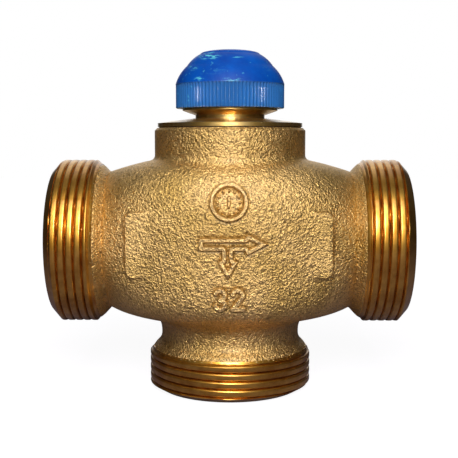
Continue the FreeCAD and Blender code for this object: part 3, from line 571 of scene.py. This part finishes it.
def flow_outline():
    """Outline of the flow mark: one arrow along the run and one down the branch."""
    bar_left, bar_top, bar_bottom = -8.0, 3.5, 0.1
    head_back, head_top, head_bottom, tip = 4.9, 4.6, -1.1, 10.4
    shaft_left, shaft_right = -1.8, 1.2
    low_back, low_left, low_right, low_tip = -2.4, -2.9, 2.4, -7.6
    barb = 0.6
    bar_middle = (bar_top + bar_bottom) / 2
    shaft_middle = (shaft_left + shaft_right) / 2
    return [(bar_left, bar_top), (head_back - barb, bar_top), (head_back, head_top),
            (tip, bar_middle), (head_back, head_bottom), (head_back - barb, bar_bottom),
            (shaft_right, bar_bottom), (shaft_right, low_back), (low_right, low_back - barb),
            (shaft_middle, low_tip), (low_left, low_back - barb), (shaft_left, low_back),
            (shaft_left, bar_bottom), (bar_left, bar_bottom)]


def digits():
    """Centre lines of a three and a two, side by side."""
    half = (DIGIT_HIGH - DIGIT_LOW - DIGIT_STROKE) / 2
    middle = (DIGIT_HIGH + DIGIT_LOW) / 2
    bowl = half / 2
    left, right = -DIGIT_GAP / 2, DIGIT_GAP / 2
    three = (arc(left, middle + bowl, bowl, 160, -90)
             + arc(left, middle - bowl, bowl, 90, -160)[1:])
    two = (arc(right, middle + half - bowl * TWO_BOWL, bowl * TWO_BOWL, 165, -35)
           + [(right - bowl * TWO_FOOT_LEFT, middle - half),
              (right + bowl * TWO_FOOT_RIGHT, middle - half)])
    return [three, two]


def ridge(distance, width):
    """Height share of a rounded ridge over its centre line."""
    rise = np.clip((width / 2 + MARK_SLOPE / 2 - distance) / MARK_SLOPE, 0, 1)
    return rise * rise * (3 - 2 * rise)


def moat(distance, width):
    """Depth share of the shallow trough that runs along both sides of a ridge."""
    return np.clip(1 - np.abs(distance - width / 2 - MOAT_WIDTH / 2) / MOAT_WIDTH, 0, 1)


def mark_relief(x, z):
    """Shares of the marks' full height, and of their troughs' full depth, on the front."""
    around = np.hypot(x, z - RING_LEVEL)
    inset = outline_distance(x, z, flow_outline()) + MARK_RIDGE / 2
    lines = [(np.abs(inset), MARK_RIDGE), (np.abs(around - RING_RADIUS), RING_WIDTH)]
    lines += [(stroke_distance(x, z, line), DIGIT_STROKE) for line in digits()]
    height = np.zeros(len(x))
    trough = np.zeros(len(x))
    for distance, width in lines:
        height = np.maximum(height, ridge(distance, width))
        trough = np.maximum(trough, moat(distance, width))
    for k in range(RING_DOTS):
        turn = 2 * math.pi * k / RING_DOTS
        dot = np.hypot(x - RING_DOT_RADIUS * math.cos(turn),
                       z - RING_LEVEL - RING_DOT_RADIUS * math.sin(turn))
        height = np.maximum(height, DOT_HEIGHT * ridge(dot, 2 * DOT_SIZE))
    pointer = stroke_distance(x, z, POINTER)
    height = np.maximum(height, POINTER_HEIGHT * ridge(pointer, POINTER_WIDTH))
    return height, trough * (1 - height)


def valve_casting(material):
    """The casting between its machined ends, hollow as the real one, with its marks raised.

    Its relief attribute is one on the marks' tops and minus one in the troughs beside them.
    The cast brass paints a highlight on the tops and shade in the troughs from it.
    """
    low = [-SIDE_CAST_END - CAST_PITCH, -BELLY_DEPTH - CAST_MARGIN, -BRANCH_CAST_END - CAST_PITCH]
    high = [SIDE_CAST_END + CAST_PITCH, BELLY_DEPTH + CAST_MARGIN, NECK_TOP + CAST_PITCH]
    points, quads = contour(casting_field, low, high, CAST_PITCH)
    middle = points[quads].mean(axis=1)
    front = ((middle[:, 1] < -MARK_DEPTH) & (np.abs(middle[:, 0]) < MARK_REACH)
             & (middle[:, 2] > MARK_LOW) & (middle[:, 2] < MARK_TOP))
    points, faces, loose = refined(points, quads, front, MARK_PARTS)
    moved = points[loose]
    slope = slope_of(casting_field, moved)
    moved = moved - casting_field(moved)[:, None] * slope
    ridges, troughs = mark_relief(moved[:, 0], moved[:, 2])
    points[loose] = moved + (MARK_HEIGHT * ridges - MOAT_DEPTH * troughs)[:, None] * slope
    piece = new_piece("valve_casting", points, faces, "valve", material, CAST_CREASE,
                      ["valve_body"])
    relief = np.zeros(len(points), dtype=np.float32)
    relief[loose] = ridges - troughs
    piece.data.attributes.new("relief", "FLOAT", "POINT").data.foreach_set("value", relief)
    return piece


# Turned pieces

def turned_rings(rows, columns, radius, level):
    """Points on rings about Z. The radius is a function of row and turn, the level of the row."""
    row, column = np.meshgrid(np.arange(rows), np.arange(columns), indexing="ij")
    turn = 2 * math.pi * column / columns
    around = radius(row, turn)
    return np.stack([around * np.cos(turn), around * np.sin(turn), level(row)], -1).reshape(-1, 3)


def ring_faces(rows, columns):
    """Quads between rings, and from the last ring back to the first."""
    row, column = np.meshgrid(np.arange(rows), np.arange(columns), indexing="ij")
    row, column = row.reshape(-1), column.reshape(-1)
    above, beside = (row + 1) % rows, (column + 1) % columns
    return np.stack([row * columns + column, row * columns + beside,
                     above * columns + beside, above * columns + column], 1)


def pipe_thread(depth, turn, start):
    """Thread radius at a depth behind the face: broad round crests and narrow roots."""
    phase = (depth / PIPE_PITCH - turn / (2 * math.pi) + start) % 1
    return PIPE_CREST - PIPE_DEPTH * np.abs(2 * phase - 1) ** PIPE_ROUNDNESS


def port_radius(depth, turn, lead, thread_end, edge, slope, start):
    """Outside of a machined port at a depth behind its face."""
    chamfer = FACE_RADIUS + depth * (PIPE_CREST - FACE_RADIUS) / lead
    thread = np.minimum(pipe_thread(depth, turn, start), chamfer)
    fade = np.clip((depth - thread_end + THREAD_FADE) / THREAD_FADE, 0, 1)
    behind = shoulder_profile(COLLAR_RADIUS, depth - edge, slope)
    groove = thread * (1 - fade) + np.minimum(thread, behind) * fade
    return np.where(depth < thread_end, groove, behind)


def port_sleeve(name, material, length, lead, thread_end, edge, slope, start, place):
    """Machined port end with its helical thread, its sealing face and its bore."""
    length += SLEEVE_LAP
    rows = int(round(length / THREAD_ROW)) + 1
    depth = np.linspace(0, length, rows)
    inner_radius = [PORT_BORE - BORE_LINING, PORT_BORE,
                    PORT_BORE + BORE_CHAMFER, FACE_RADIUS - FACE_EDGE]
    inner_depth = [length, BORE_CHAMFER, 0.0, 0.0]
    inner = np.arange(len(inner_radius))
    total = rows + len(inner)

    def depth_at(row):
        return np.interp(row, np.arange(rows), depth)

    def radius(row, turn):
        outside = port_radius(depth_at(row), turn, lead, thread_end, edge, slope, start)
        return np.where(row < rows, outside, np.interp(row - rows, inner, inner_radius))

    def level(row):
        return -np.where(row < rows, depth_at(row), np.interp(row - rows, inner, inner_depth))

    points = turned_rings(total, THREAD_COLUMNS, radius, level)
    faces = ring_faces(total, THREAD_COLUMNS)[:, ::-1]
    return new_piece(name, place(points), faces, "valve", material, SLEEVE_CREASE)


def side_place(side):
    """Turns a sleeve made about Z so that its face looks along the run."""
    def place(points):
        return np.stack([side * (points[:, 2] + RUN_END), side * points[:, 0], points[:, 1]], 1)
    return place


def branch_place(points):
    """Turns a sleeve made about Z so that its face looks down."""
    return np.stack([points[:, 0], -points[:, 1], -points[:, 2] - BRANCH_END], 1)


def curve(start, end, sag, steps):
    """Points between two, bowed sideways by the sag."""
    start, end = np.array(start, dtype=float), np.array(end, dtype=float)
    along = end - start
    side = np.array([along[1], -along[0]]) / np.hypot(*along)
    return [tuple(start + along * t + side * sag * 4 * t * (1 - t))
            for t in np.linspace(0, 1, steps + 1)]


def cap_profile():
    """The cap's outside from the rim to the top, as (radius, level, share of the ribs)."""
    skirt = [(CAP_RADIUS - inset, CAP_RIM + rise, share) for inset, rise, share in RIM_ROWS]
    skirt += [(CAP_RADIUS, CAP_RIM + SKIRT_START + SKIRT_LENGTH * k / SKIRT_ROWS, 1.0)
              for k in range(1, SKIRT_ROWS + 1)]
    lip = [(CAP_RADIUS - inset, KNURL_TOP + rise, share) for inset, rise, share in LIP_ROWS]
    side = curve((DOME_BASE, KNURL_TOP + DOME_FOOT),
                 (DOME_SIDE_RADIUS, KNURL_TOP + DOME_SIDE_HEIGHT),
                 DOME_SIDE_SAG, DOME_SIDE_STEPS)
    shoulder = curve(side[-1], (DOME_SHOULDER_RADIUS, DOME_TOP - DOME_CROWN),
                     DOME_SHOULDER_SAG, DOME_SHOULDER_STEPS)
    crown = [(DOME_SHOULDER_RADIUS * math.cos(math.radians(a)),
              DOME_TOP - DOME_CROWN + DOME_CROWN * math.sin(math.radians(a)))
             for a in CROWN_ANGLES]
    return skirt + lip + [(r, z, 0.0) for r, z in side + shoulder[1:] + crown]


def knob_cap(material):
    """The moulded cap with round ribs on its skirt, hollow down to the boss for the pin."""
    inside = [(CAP_CORE, DOME_TOP - CORE_SKIN), (CAP_CORE, BOSS_LEVEL), (BOSS_RADIUS, BOSS_LEVEL),
              (BOSS_RADIUS, DOME_TOP - CROWN_WALL),
              (DOME_SHOULDER_RADIUS - CAP_WALL / 3, DOME_TOP - DOME_CROWN - SHOULDER_WALL),
              (DOME_SIDE_RADIUS - CAP_WALL, KNURL_TOP + DOME_SIDE_HEIGHT - CAP_WALL / 2),
              (HEAD_RADIUS - HEAD_CHAMFER, HEAD_ROOM), (CAP_BORE, HEAD_ROOM),
              (CAP_BORE, CAP_RIM + CAP_BORE_CHAMFER), (CAP_BORE + CAP_BORE_CHAMFER, CAP_RIM)]
    profile = np.array(cap_profile() + [(r, z, 0.0) for r, z in inside])

    def radius(row, turn):
        share = (turn * RIBS / (2 * math.pi)) % 1
        wave = smooth_min(1 - np.abs(2 * share - 1), RIB_FLAT, RIB_ROUND)
        return profile[row, 0] - profile[row, 2] * RIB_DEPTH * (1 - wave)

    columns = RIBS * RIB_COLUMNS
    points = turned_rings(len(profile), columns, radius, lambda row: profile[row, 1])
    faces = ring_faces(len(profile), columns)
    return new_piece("knob_cap", points, faces, "cap", material, CAP_CREASE, ["protective_cap"])


def coil_piece(material):
    """The return spring's coil: a still copy of the frame's spring, in the given material."""
    solid = frame["nodes"]["return_spring"]
    mesh = solid.data.copy()
    mesh.transform(solid.matrix_world)
    mesh.materials.clear()
    mesh.materials.append(material)
    coil = bpy.data.objects.new("return_coil", mesh)
    bpy.context.scene.collection.objects.link(coil)
    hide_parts("return_spring")
    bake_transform(coil)


# Materials. Scales count per metre, bump heights are in metres.

# Cast skin
CAST_DARK = (0.55, 0.35, 0.10)
CAST_LIGHT = (0.80, 0.53, 0.21)
# Dark brass painted as shade in the grain's hollows and in the troughs beside the marks
CAST_PAINTED_SHADE = (0.22, 0.13, 0.028)
# Light brass painted as a highlight on the marks' tops
CAST_PAINTED_HIGHLIGHT = (0.9, 0.62, 0.27)
CAST_ROUGH = 0.47
CAST_ROUGH_SWING = 0.06
CAST_COAT = 0.2
CAST_COAT_ROUGH = 0.35
CAST_GRAIN = 0.0005
CAST_CLOUDS = 55.0
GRAIN_SCALE = 1750.0
COARSE_SCALE = 0.42 * GRAIN_SCALE
COARSE_SHARE = 0.8
NOISE_SPREAD = (0.3, 0.7)
# Grain levels over which the painted shade in the grain's hollows fades out, and its strength
GRAIN_HOLLOW = (0.36, 0.5)
GRAIN_PAINTED_SHADE = 0.6
# Relief over which the marks' tops get a painted highlight, and its strength
RELIEF_TOP = (0.3, 1.0)
TOP_PAINTED_HIGHLIGHT = 0.6
# Relief over which the troughs beside the marks get painted shade, and its strength
RELIEF_TROUGH = (-0.1, -1.0)
TROUGH_PAINTED_SHADE = 0.7

# Machined brass
THREAD_DARK = (0.46, 0.2, 0.02)
THREAD_LIGHT = (0.82, 0.46, 0.085)
TURNED_DARK = (0.56, 0.35, 0.09)
TURNED_LIGHT = (0.92, 0.66, 0.27)
TURNED_ROUGH = 0.3
STAIN_ROUGH = 0.12
STAIN_SCALE = 130.0
TOOL_ALONG = 6.0
TOOL_ACROSS = 9000.0
TOOL_TINT = 0.5
TOOL_GRAIN = 0.000012
FINE_SCALE = 2600.0
FINE_SHARE = 0.35
TURNED_COAT = 0.6
TURNED_COAT_ROUGH = 0.12

# Blue plastic. A scuff spot is its middle in X and Z, half its width and half its height, all in
# millimetres from the frame's origin, and its wear.
BLUE_DARK = (0.0, 0.045, 0.31)
BLUE_LIGHT = (0.0, 0.085, 0.46)
BLUE_CLOUDS = 120.0
BLUE_GRAIN = 0.00003
BLUE_GRAIN_SCALE = 1400.0
KNURL_TINT = (0.045, 0.2, 0.44)
KNURL_TINT_SHARE = 0.5
KNURL_SHINE = 0.3
KNURL_FADE = (0.3, 0.1)
DOME_ROUGH = (0.5, 0.42)
DOME_SPECULAR = 0.2
KNURL_SPECULAR = 1.0
SCUFF = (0.12, 0.62, 0.72)
SCUFF_SPOTS = [(-5.6, 97.1, 3.4, 1.5, 0.8), (-10.4, 93.7, 1.6, 1.0, 0.6),
               (-8.6, 90.1, 1.5, 0.8, 0.7), (1.1, 89.9, 3.2, 0.7, 0.5),
               (2.1, 96.4, 2.0, 0.3, 0.45)]
SCRATCH_SCALE = (500.0, 160.0, 1500.0)
SCRATCH_SHOWN = (0.5, 0.6)
SCRATCH_SHARE = 0.6
SPOT_EDGE = (1.1, 0.5)
PATCH_SCALE = 170.0
PATCH_SHOWN = (0.6, 0.75)
PATCH_WEAR = 0.1
SPECK_SCALE = 900.0
SPECK_SHOWN = (0.71, 0.77)
SPECK_WEAR = 0.25

# Inner pieces
INNER_SCALE = 900.0
INNER_GRAIN = 0.00001
INNER_LOOKS = {
    "stainless": {"dark": (0.42, 0.42, 0.42), "light": (0.58, 0.58, 0.57),
                  "metal": 1.0, "rough": 0.22},
    "spring_steel": {"dark": (0.22, 0.22, 0.23), "light": (0.36, 0.36, 0.37),
                     "metal": 1.0, "rough": 0.32},
    "black_rubber": {"dark": (0.012, 0.012, 0.012), "light": (0.025, 0.025, 0.025),
                     "metal": 0.0, "rough": 0.6},
    "fibre_gasket": {"dark": (0.03, 0.018, 0.01), "light": (0.06, 0.04, 0.025),
                     "metal": 0.0, "rough": 0.8},
    "white_plastic": {"dark": (0.68, 0.67, 0.63), "light": (0.78, 0.77, 0.73),
                      "metal": 0.0, "rough": 0.4}}


class Nodes:
    """Short hand for building one material's node tree."""

    def __init__(self, tree):
        self.tree = tree

    def feed(self, socket, value):
        """Links the socket to another, or gives it a plain value."""
        if isinstance(value, bpy.types.NodeSocket):
            self.tree.links.new(value, socket)
        else:
            socket.default_value = value

    def add(self, kind, inputs=None, **settings):
        node = self.tree.nodes.new(kind)
        for key, value in settings.items():
            setattr(node, key, value)
        for key, value in (inputs or {}).items():
            self.feed(node.inputs[key], value)
        return node

    def noise(self, where, scale, detail, roughness):
        return self.add("ShaderNodeTexNoise", {"Vector": where, "Scale": scale, "Detail": detail,
                                              "Roughness": roughness}).outputs["Fac"]

    def ramp(self, factor, stops):
        node = self.add("ShaderNodeValToRGB", {"Fac": factor})
        ramp = node.color_ramp
        while len(ramp.elements) < len(stops):
            ramp.elements.new(0.5)
        for element, (place, colour) in zip(ramp.elements, stops):
            element.position = place
            element.color = (*colour, 1)
        return node.outputs["Color"]

    def span(self, value, low, high, new_low=0.0, new_high=1.0):
        limits = {"Value": value, "From Min": low, "From Max": high,
                  "To Min": new_low, "To Max": new_high}
        return self.add("ShaderNodeMapRange", limits).outputs["Result"]

    def mix(self, factor, first, second):
        node = self.add("ShaderNodeMix", data_type="RGBA")
        for place, value in ((0, factor), (6, first), (7, second)):
            self.feed(node.inputs[place], value)
        return node.outputs[2]

    def math(self, operation, first, second=0.0):
        node = self.add("ShaderNodeMath", operation=operation)
        self.feed(node.inputs[0], first)
        self.feed(node.inputs[1], second)
        return node.outputs[0]

    def stretched(self, where, scale):
        return self.add("ShaderNodeMapping", {"Vector": where, "Scale": scale}).outputs["Vector"]

    def bump(self, height, distance):
        return self.add("ShaderNodeBump", {"Height": height, "Distance": distance,
                                           "Strength": 1.0}).outputs["Normal"]


def surface(name, metal=0.0, rough=0.5):
    """New material with its node helper, its surface shader and object coordinates."""
    material = bpy.data.materials.new(name)
    material.use_nodes = True
    tree = material.node_tree
    shader = next(node for node in tree.nodes if node.type == "BSDF_PRINCIPLED")
    shader.inputs["Metallic"].default_value = metal
    shader.inputs["Roughness"].default_value = rough
    nodes = Nodes(tree)
    where = nodes.add("ShaderNodeTexCoord").outputs["Object"]
    return material, nodes, shader, where


def joined_to(nodes, shader, **sockets):
    """Gives the shader's sockets, named with underscores for spaces, their links or values."""
    for key, value in sockets.items():
        nodes.feed(shader.inputs[key.replace("_", " ")], value)


def cast_brass():
    """Tumbled casting skin: pebbled grain, bright on the grain's tops, with painted shade in its
    hollows.
    """
    material, nodes, shader, where = surface("cast_brass", metal=1.0)
    grain = nodes.noise(where, GRAIN_SCALE, detail=2.0, roughness=0.6)
    coarse = nodes.noise(where, COARSE_SCALE, detail=2.0, roughness=0.5)
    cloud = nodes.noise(where, CAST_CLOUDS, detail=3.0, roughness=0.6)
    height = nodes.math("ADD", grain, nodes.math("MULTIPLY", coarse, COARSE_SHARE))
    tone = nodes.ramp(cloud, [(0.3, CAST_DARK), (0.62, CAST_LIGHT)])
    # Painted shade in the grain's hollows
    hollow = nodes.span(grain, *GRAIN_HOLLOW, GRAIN_PAINTED_SHADE, 0.0)
    colour = nodes.mix(hollow, tone, (*CAST_PAINTED_SHADE, 1))
    relief = nodes.add("ShaderNodeAttribute", attribute_name="relief").outputs["Fac"]
    # Painted highlight on the marks' tops
    top = nodes.span(relief, *RELIEF_TOP, 0.0, TOP_PAINTED_HIGHLIGHT)
    colour = nodes.mix(top, colour, (*CAST_PAINTED_HIGHLIGHT, 1))
    # Painted shade in the troughs beside the marks
    trough = nodes.span(relief, *RELIEF_TROUGH, 0.0, TROUGH_PAINTED_SHADE)
    colour = nodes.mix(trough, colour, (*CAST_PAINTED_SHADE, 1))
    rough = nodes.span(coarse, *NOISE_SPREAD, CAST_ROUGH + CAST_ROUGH_SWING,
                       CAST_ROUGH - CAST_ROUGH_SWING)
    joined_to(nodes, shader, Base_Color=colour, Roughness=rough,
              Normal=nodes.bump(height, CAST_GRAIN),
              Coat_Weight=CAST_COAT, Coat_Roughness=CAST_COAT_ROUGH)
    return material


def machined_brass(name, along, dark, light):
    """Turned brass with fine tool lines across the given axis, stained here and there."""
    material, nodes, shader, where = surface(name, metal=1.0)
    lines = [TOOL_ALONG] * 3
    lines["XYZ".index(along)] = TOOL_ACROSS
    tool = nodes.noise(nodes.stretched(where, lines), 1.0, detail=2.0, roughness=0.6)
    stain = nodes.noise(where, STAIN_SCALE, detail=4.0, roughness=0.65)
    blotch = nodes.ramp(stain, [(0.38, dark), (0.6, light)])
    fine = nodes.noise(where, FINE_SCALE, detail=2.0, roughness=0.5)
    colour = nodes.mix(nodes.math("MULTIPLY", tool, TOOL_TINT), blotch, (*dark, 1))
    rough = nodes.span(stain, *NOISE_SPREAD, TURNED_ROUGH + STAIN_ROUGH, TURNED_ROUGH)
    height = nodes.math("ADD", tool, nodes.math("MULTIPLY", fine, FINE_SHARE))
    joined_to(nodes, shader, Base_Color=colour, Roughness=rough,
              Normal=nodes.bump(height, TOOL_GRAIN),
              Coat_Weight=TURNED_COAT, Coat_Roughness=TURNED_COAT_ROUGH)
    return material


def scuff_wear(nodes, where, place):
    """Share of worn skin: faint patches all over and the scuffed spots on the dome's front."""
    patch = nodes.noise(where, PATCH_SCALE, detail=2.0, roughness=0.6)
    worn = nodes.math("MULTIPLY", nodes.span(patch, *PATCH_SHOWN), PATCH_WEAR)
    front = nodes.span(place.outputs["Y"], 0.0, -MM)
    for x, z, half_width, half_height, wear in SCUFF_SPOTS:
        squares = []
        for axis, middle, half in (("X", x, half_width), ("Z", z, half_height)):
            apart = nodes.math("SUBTRACT", place.outputs[axis], middle * MM)
            squares.append(nodes.math("POWER", nodes.math("DIVIDE", apart, half * MM), 2.0))
        apart = nodes.math("SQRT", nodes.math("ADD", *squares))
        near = nodes.math("MULTIPLY", nodes.span(apart, *SPOT_EDGE, 0.0, wear), front)
        worn = nodes.math("MAXIMUM", worn, near)
    return worn


def blue_plastic():
    """Satin blue moulding with pale scuffs round the dome and specks along the knurl."""
    material, nodes, shader, where = surface("blue_plastic")
    cloud = nodes.noise(where, BLUE_CLOUDS, detail=3.0, roughness=0.6)
    colour = nodes.ramp(cloud, [(0.3, BLUE_DARK), (0.7, BLUE_LIGHT)])
    scratch = nodes.noise(nodes.stretched(where, SCRATCH_SCALE), 1.0, detail=3.0, roughness=0.7)
    place = nodes.add("ShaderNodeSeparateXYZ", {"Vector": where})
    worn = scuff_wear(nodes, where, place)
    scuffed = nodes.math("MULTIPLY", nodes.span(scratch, *SCRATCH_SHOWN), worn)
    dust = nodes.noise(where, SPECK_SCALE, detail=1.0, roughness=0.4)
    speck = nodes.span(dust, *SPECK_SHOWN)
    specked = nodes.math("ADD", scuffed, nodes.math("MULTIPLY", speck, SPECK_WEAR))
    marks = nodes.math("MINIMUM", specked, 1.0)
    rib_top = (AXIS + CAP_RIM + KNURL_HEIGHT) * MM
    knurl = nodes.span(place.outputs["Z"], rib_top + KNURL_FADE[0] * MM,
                       rib_top - KNURL_FADE[1] * MM)
    colour = nodes.mix(nodes.math("MULTIPLY", knurl, KNURL_TINT_SHARE), colour, (*KNURL_TINT, 1))
    colour = nodes.mix(marks, colour, (*SCUFF, 1))
    height = nodes.math("ADD", nodes.noise(where, BLUE_GRAIN_SCALE, detail=2.0, roughness=0.5),
                        nodes.math("MULTIPLY", scratch, SCRATCH_SHARE))
    rough = nodes.math("ADD", nodes.span(cloud, *NOISE_SPREAD, *DOME_ROUGH),
                       nodes.math("MULTIPLY", knurl, -KNURL_SHINE))
    joined_to(nodes, shader, Base_Color=colour, Roughness=rough,
              Normal=nodes.bump(height, BLUE_GRAIN),
              Specular_IOR_Level=nodes.span(knurl, 0.0, 1.0, DOME_SPECULAR, KNURL_SPECULAR))
    return material


def plain(name, dark, light, metal, rough):
    """Material of an inner piece, with a little unevenness in tone and relief."""
    material, nodes, shader, where = surface(name, metal=metal, rough=rough)
    grain = nodes.noise(where, INNER_SCALE, detail=3.0, roughness=0.6)
    joined_to(nodes, shader, Base_Color=nodes.ramp(grain, [(0.35, dark), (0.65, light)]),
              Normal=nodes.bump(grain, INNER_GRAIN))
    return material


# Camera, light and backdrop

CAMERA_PLACE = (0.002882, -0.26576, 0.072398)
CAMERA_DIP = 5.506
CAMERA_YAW_RADIANS = 0.01201
LENS = 70.28
SENSOR = 36.0

MIDDLE = (0.0, 0.0, AXIS * MM)
LAMPS = [{"name": "spark", "place": (0.002, -0.28, 0.136), "size": (0.028, 0.05),
          "power": 0.17, "colour": (1, 1, 1)},
         {"name": "flash", "place": (0.002, -0.28, 0.205), "size": (0.14, 0.11),
          "power": 0.75, "colour": (1.0, 0.97, 0.92)},
         {"name": "sky", "place": (0.0, -0.24, 0.33), "size": (0.24, 0.14),
          "power": 0.4, "colour": (1.0, 0.97, 0.93)}]

# Tones of the dim room from below to overhead, and the directions between which its reflection
# fades into the white backdrop
ROOM_STOPS = [(0.0, (0.12, 0.085, 0.15)), (0.42, (0.10, 0.085, 0.10)),
              (0.55, (0.09, 0.085, 0.08)), (1.0, (0.5, 0.5, 0.5))]
ROOM_STRENGTH = 0.2
BACKDROP_BEHIND = (0.15, 0.45)
BACKDROP_ASIDE = (0.42, 0.22)

PAPER = (0.2, 0.18, 0.24)
PAPER_GLOW = 0.94
PAPER_WHITE_NEAR = 0.08
PAPER_WHITE_FAR = 0.25
FLOOR_HALF = 1.5
FLOOR_LEVEL = -0.0002


def area_light(name, place, size, power, colour):
    """Soft light towards the middle of the object, unseen by the camera."""
    data = bpy.data.lights.new(name, "AREA")
    data.shape = "RECTANGLE"
    data.size, data.size_y = size
    data.energy = power
    data.color = colour
    lamp = bpy.data.objects.new(name, data)
    lamp.location = place
    lamp.rotation_euler = (Vector(MIDDLE) - Vector(place)).to_track_quat("-Z", "Y").to_euler()
    bpy.context.scene.collection.objects.link(lamp)
    lamp.visible_camera = False


def backdrop():
    """White to the camera, and to the metal straight behind the object.

    Elsewhere it is a dim room, lighter overhead.
    """
    world = bpy.data.worlds.new("room")
    bpy.context.scene.world = world
    world.use_nodes = True
    tree = world.node_tree
    tree.nodes.clear()
    nodes = Nodes(tree)
    direction = nodes.add("ShaderNodeTexCoord").outputs["Generated"]
    split = nodes.add("ShaderNodeSeparateXYZ", {"Vector": direction})
    up = nodes.ramp(nodes.span(split.outputs["Z"], -1.0, 1.0), ROOM_STOPS)
    room = nodes.add("ShaderNodeBackground", {"Color": up, "Strength": ROOM_STRENGTH})
    white = nodes.add("ShaderNodeBackground", {"Color": (1, 1, 1, 1), "Strength": 1.0})
    path = nodes.add("ShaderNodeLightPath")
    shown = nodes.math("MAXIMUM", path.outputs["Is Glossy Ray"],
                       path.outputs["Is Transmission Ray"])
    aside = nodes.math("ABSOLUTE", split.outputs["X"])
    behind = nodes.math("MULTIPLY", nodes.span(split.outputs["Y"], *BACKDROP_BEHIND),
                        nodes.span(aside, *BACKDROP_ASIDE))
    seen = nodes.math("MAXIMUM", path.outputs["Is Camera Ray"],
                      nodes.math("MULTIPLY", shown, behind))
    both = nodes.add("ShaderNodeMixShader", {0: seen, 1: room.outputs[0], 2: white.outputs[0]})
    nodes.add("ShaderNodeOutputWorld", {"Surface": both.outputs[0]})


def paper_material():
    """Pale paper that keeps a soft shadow and is white to the camera elsewhere."""
    material = bpy.data.materials.new("paper")
    material.use_nodes = True
    tree = material.node_tree
    tree.nodes.clear()
    nodes = Nodes(tree)
    sheet = nodes.add("ShaderNodeBsdfDiffuse", {"Color": (*PAPER, 1)})
    seen = nodes.add("ShaderNodeLightPath").outputs["Is Camera Ray"]
    where = nodes.add("ShaderNodeTexCoord").outputs["Object"]
    away = nodes.add("ShaderNodeVectorMath", {"Vector": where}, operation="LENGTH")
    paling = nodes.span(away.outputs["Value"], PAPER_WHITE_NEAR, PAPER_WHITE_FAR,
                        PAPER_GLOW, 1.0)
    white = nodes.math("MULTIPLY", seen, paling)
    glow = nodes.add("ShaderNodeEmission", {"Color": (1, 1, 1, 1), "Strength": white})
    both = nodes.add("ShaderNodeAddShader", {0: sheet.outputs[0], 1: glow.outputs[0]})
    nodes.add("ShaderNodeOutputMaterial", {"Surface": both.outputs[0]})
    return material


def paper_floor():
    """Flat sheet under the object."""
    mesh = bpy.data.meshes.new("floor")
    corners = [(-FLOOR_HALF, -FLOOR_HALF), (FLOOR_HALF, -FLOOR_HALF),
               (FLOOR_HALF, FLOOR_HALF), (-FLOOR_HALF, FLOOR_HALF)]
    mesh.from_pydata([(x, y, FLOOR_LEVEL) for x, y in corners], [], [(0, 1, 2, 3)])
    mesh.materials.append(paper_material())
    sheet_object = bpy.data.objects.new("floor", mesh)
    bpy.context.scene.collection.objects.link(sheet_object)


def camera_view():
    """Camera that was fitted to the photo's view."""
    data = bpy.data.cameras.new("camera")
    data.lens = LENS
    data.sensor_width = SENSOR
    camera = bpy.data.objects.new("camera", data)
    camera.location = CAMERA_PLACE
    camera.rotation_euler = (math.radians(90 - CAMERA_DIP), 0, CAMERA_YAW_RADIANS)
    bpy.context.scene.collection.objects.link(camera)
    bpy.context.scene.camera = camera
    bpy.context.scene.view_settings.view_transform = "Standard"


# Assembly

SIDE_BRASS = machined_brass("side_thread_brass", "X", THREAD_DARK, THREAD_LIGHT)
BRANCH_BRASS = machined_brass("branch_thread_brass", "Z", THREAD_DARK, THREAD_LIGHT)
SLOT_MATERIALS = {
    "cast_brass": cast_brass(),
    "turned_brass": machined_brass("turned_brass", "Z", TURNED_DARK, TURNED_LIGHT),
    "blue_plastic": blue_plastic()}
SLOT_MATERIALS.update({slot: plain(slot, **looks) for slot, looks in INNER_LOOKS.items()})

for part in frame["record"]["subparts"]:
    node_mesh = frame["nodes"][part["node"]].data
    node_mesh.materials.clear()
    node_mesh.materials.append(SLOT_MATERIALS[part["material_slot"]])

casting = valve_casting(SLOT_MATERIALS["cast_brass"])
sleeves = [port_sleeve(sleeve_name, SIDE_BRASS, RUN_END - SIDE_CAST_END, SIDE_LEAD,
                       RUN_END - SIDE_THREAD_END, RUN_END - SHOULDER_EDGE, SIDE_SLOPE,
                       SIDE_PHASE, side_place(side))
           for sleeve_name, side in (("inlet_thread", -1), ("outlet_thread", 1))]
sleeves.append(port_sleeve("branch_thread", BRANCH_BRASS, BRANCH_END - BRANCH_CAST_END,
                           BRANCH_LEAD, BRANCH_END - BRANCH_THREAD_END,
                           BRANCH_END - BRANCH_SHOULDER_EDGE, BRANCH_SLOPE,
                           BRANCH_PHASE, branch_place))
cap = knob_cap(SLOT_MATERIALS["blue_plastic"])
coil_piece(SLOT_MATERIALS["spring_steel"])

camera_view()
backdrop()
paper_floor()
for lamp_row in LAMPS:
    area_light(**lamp_row)
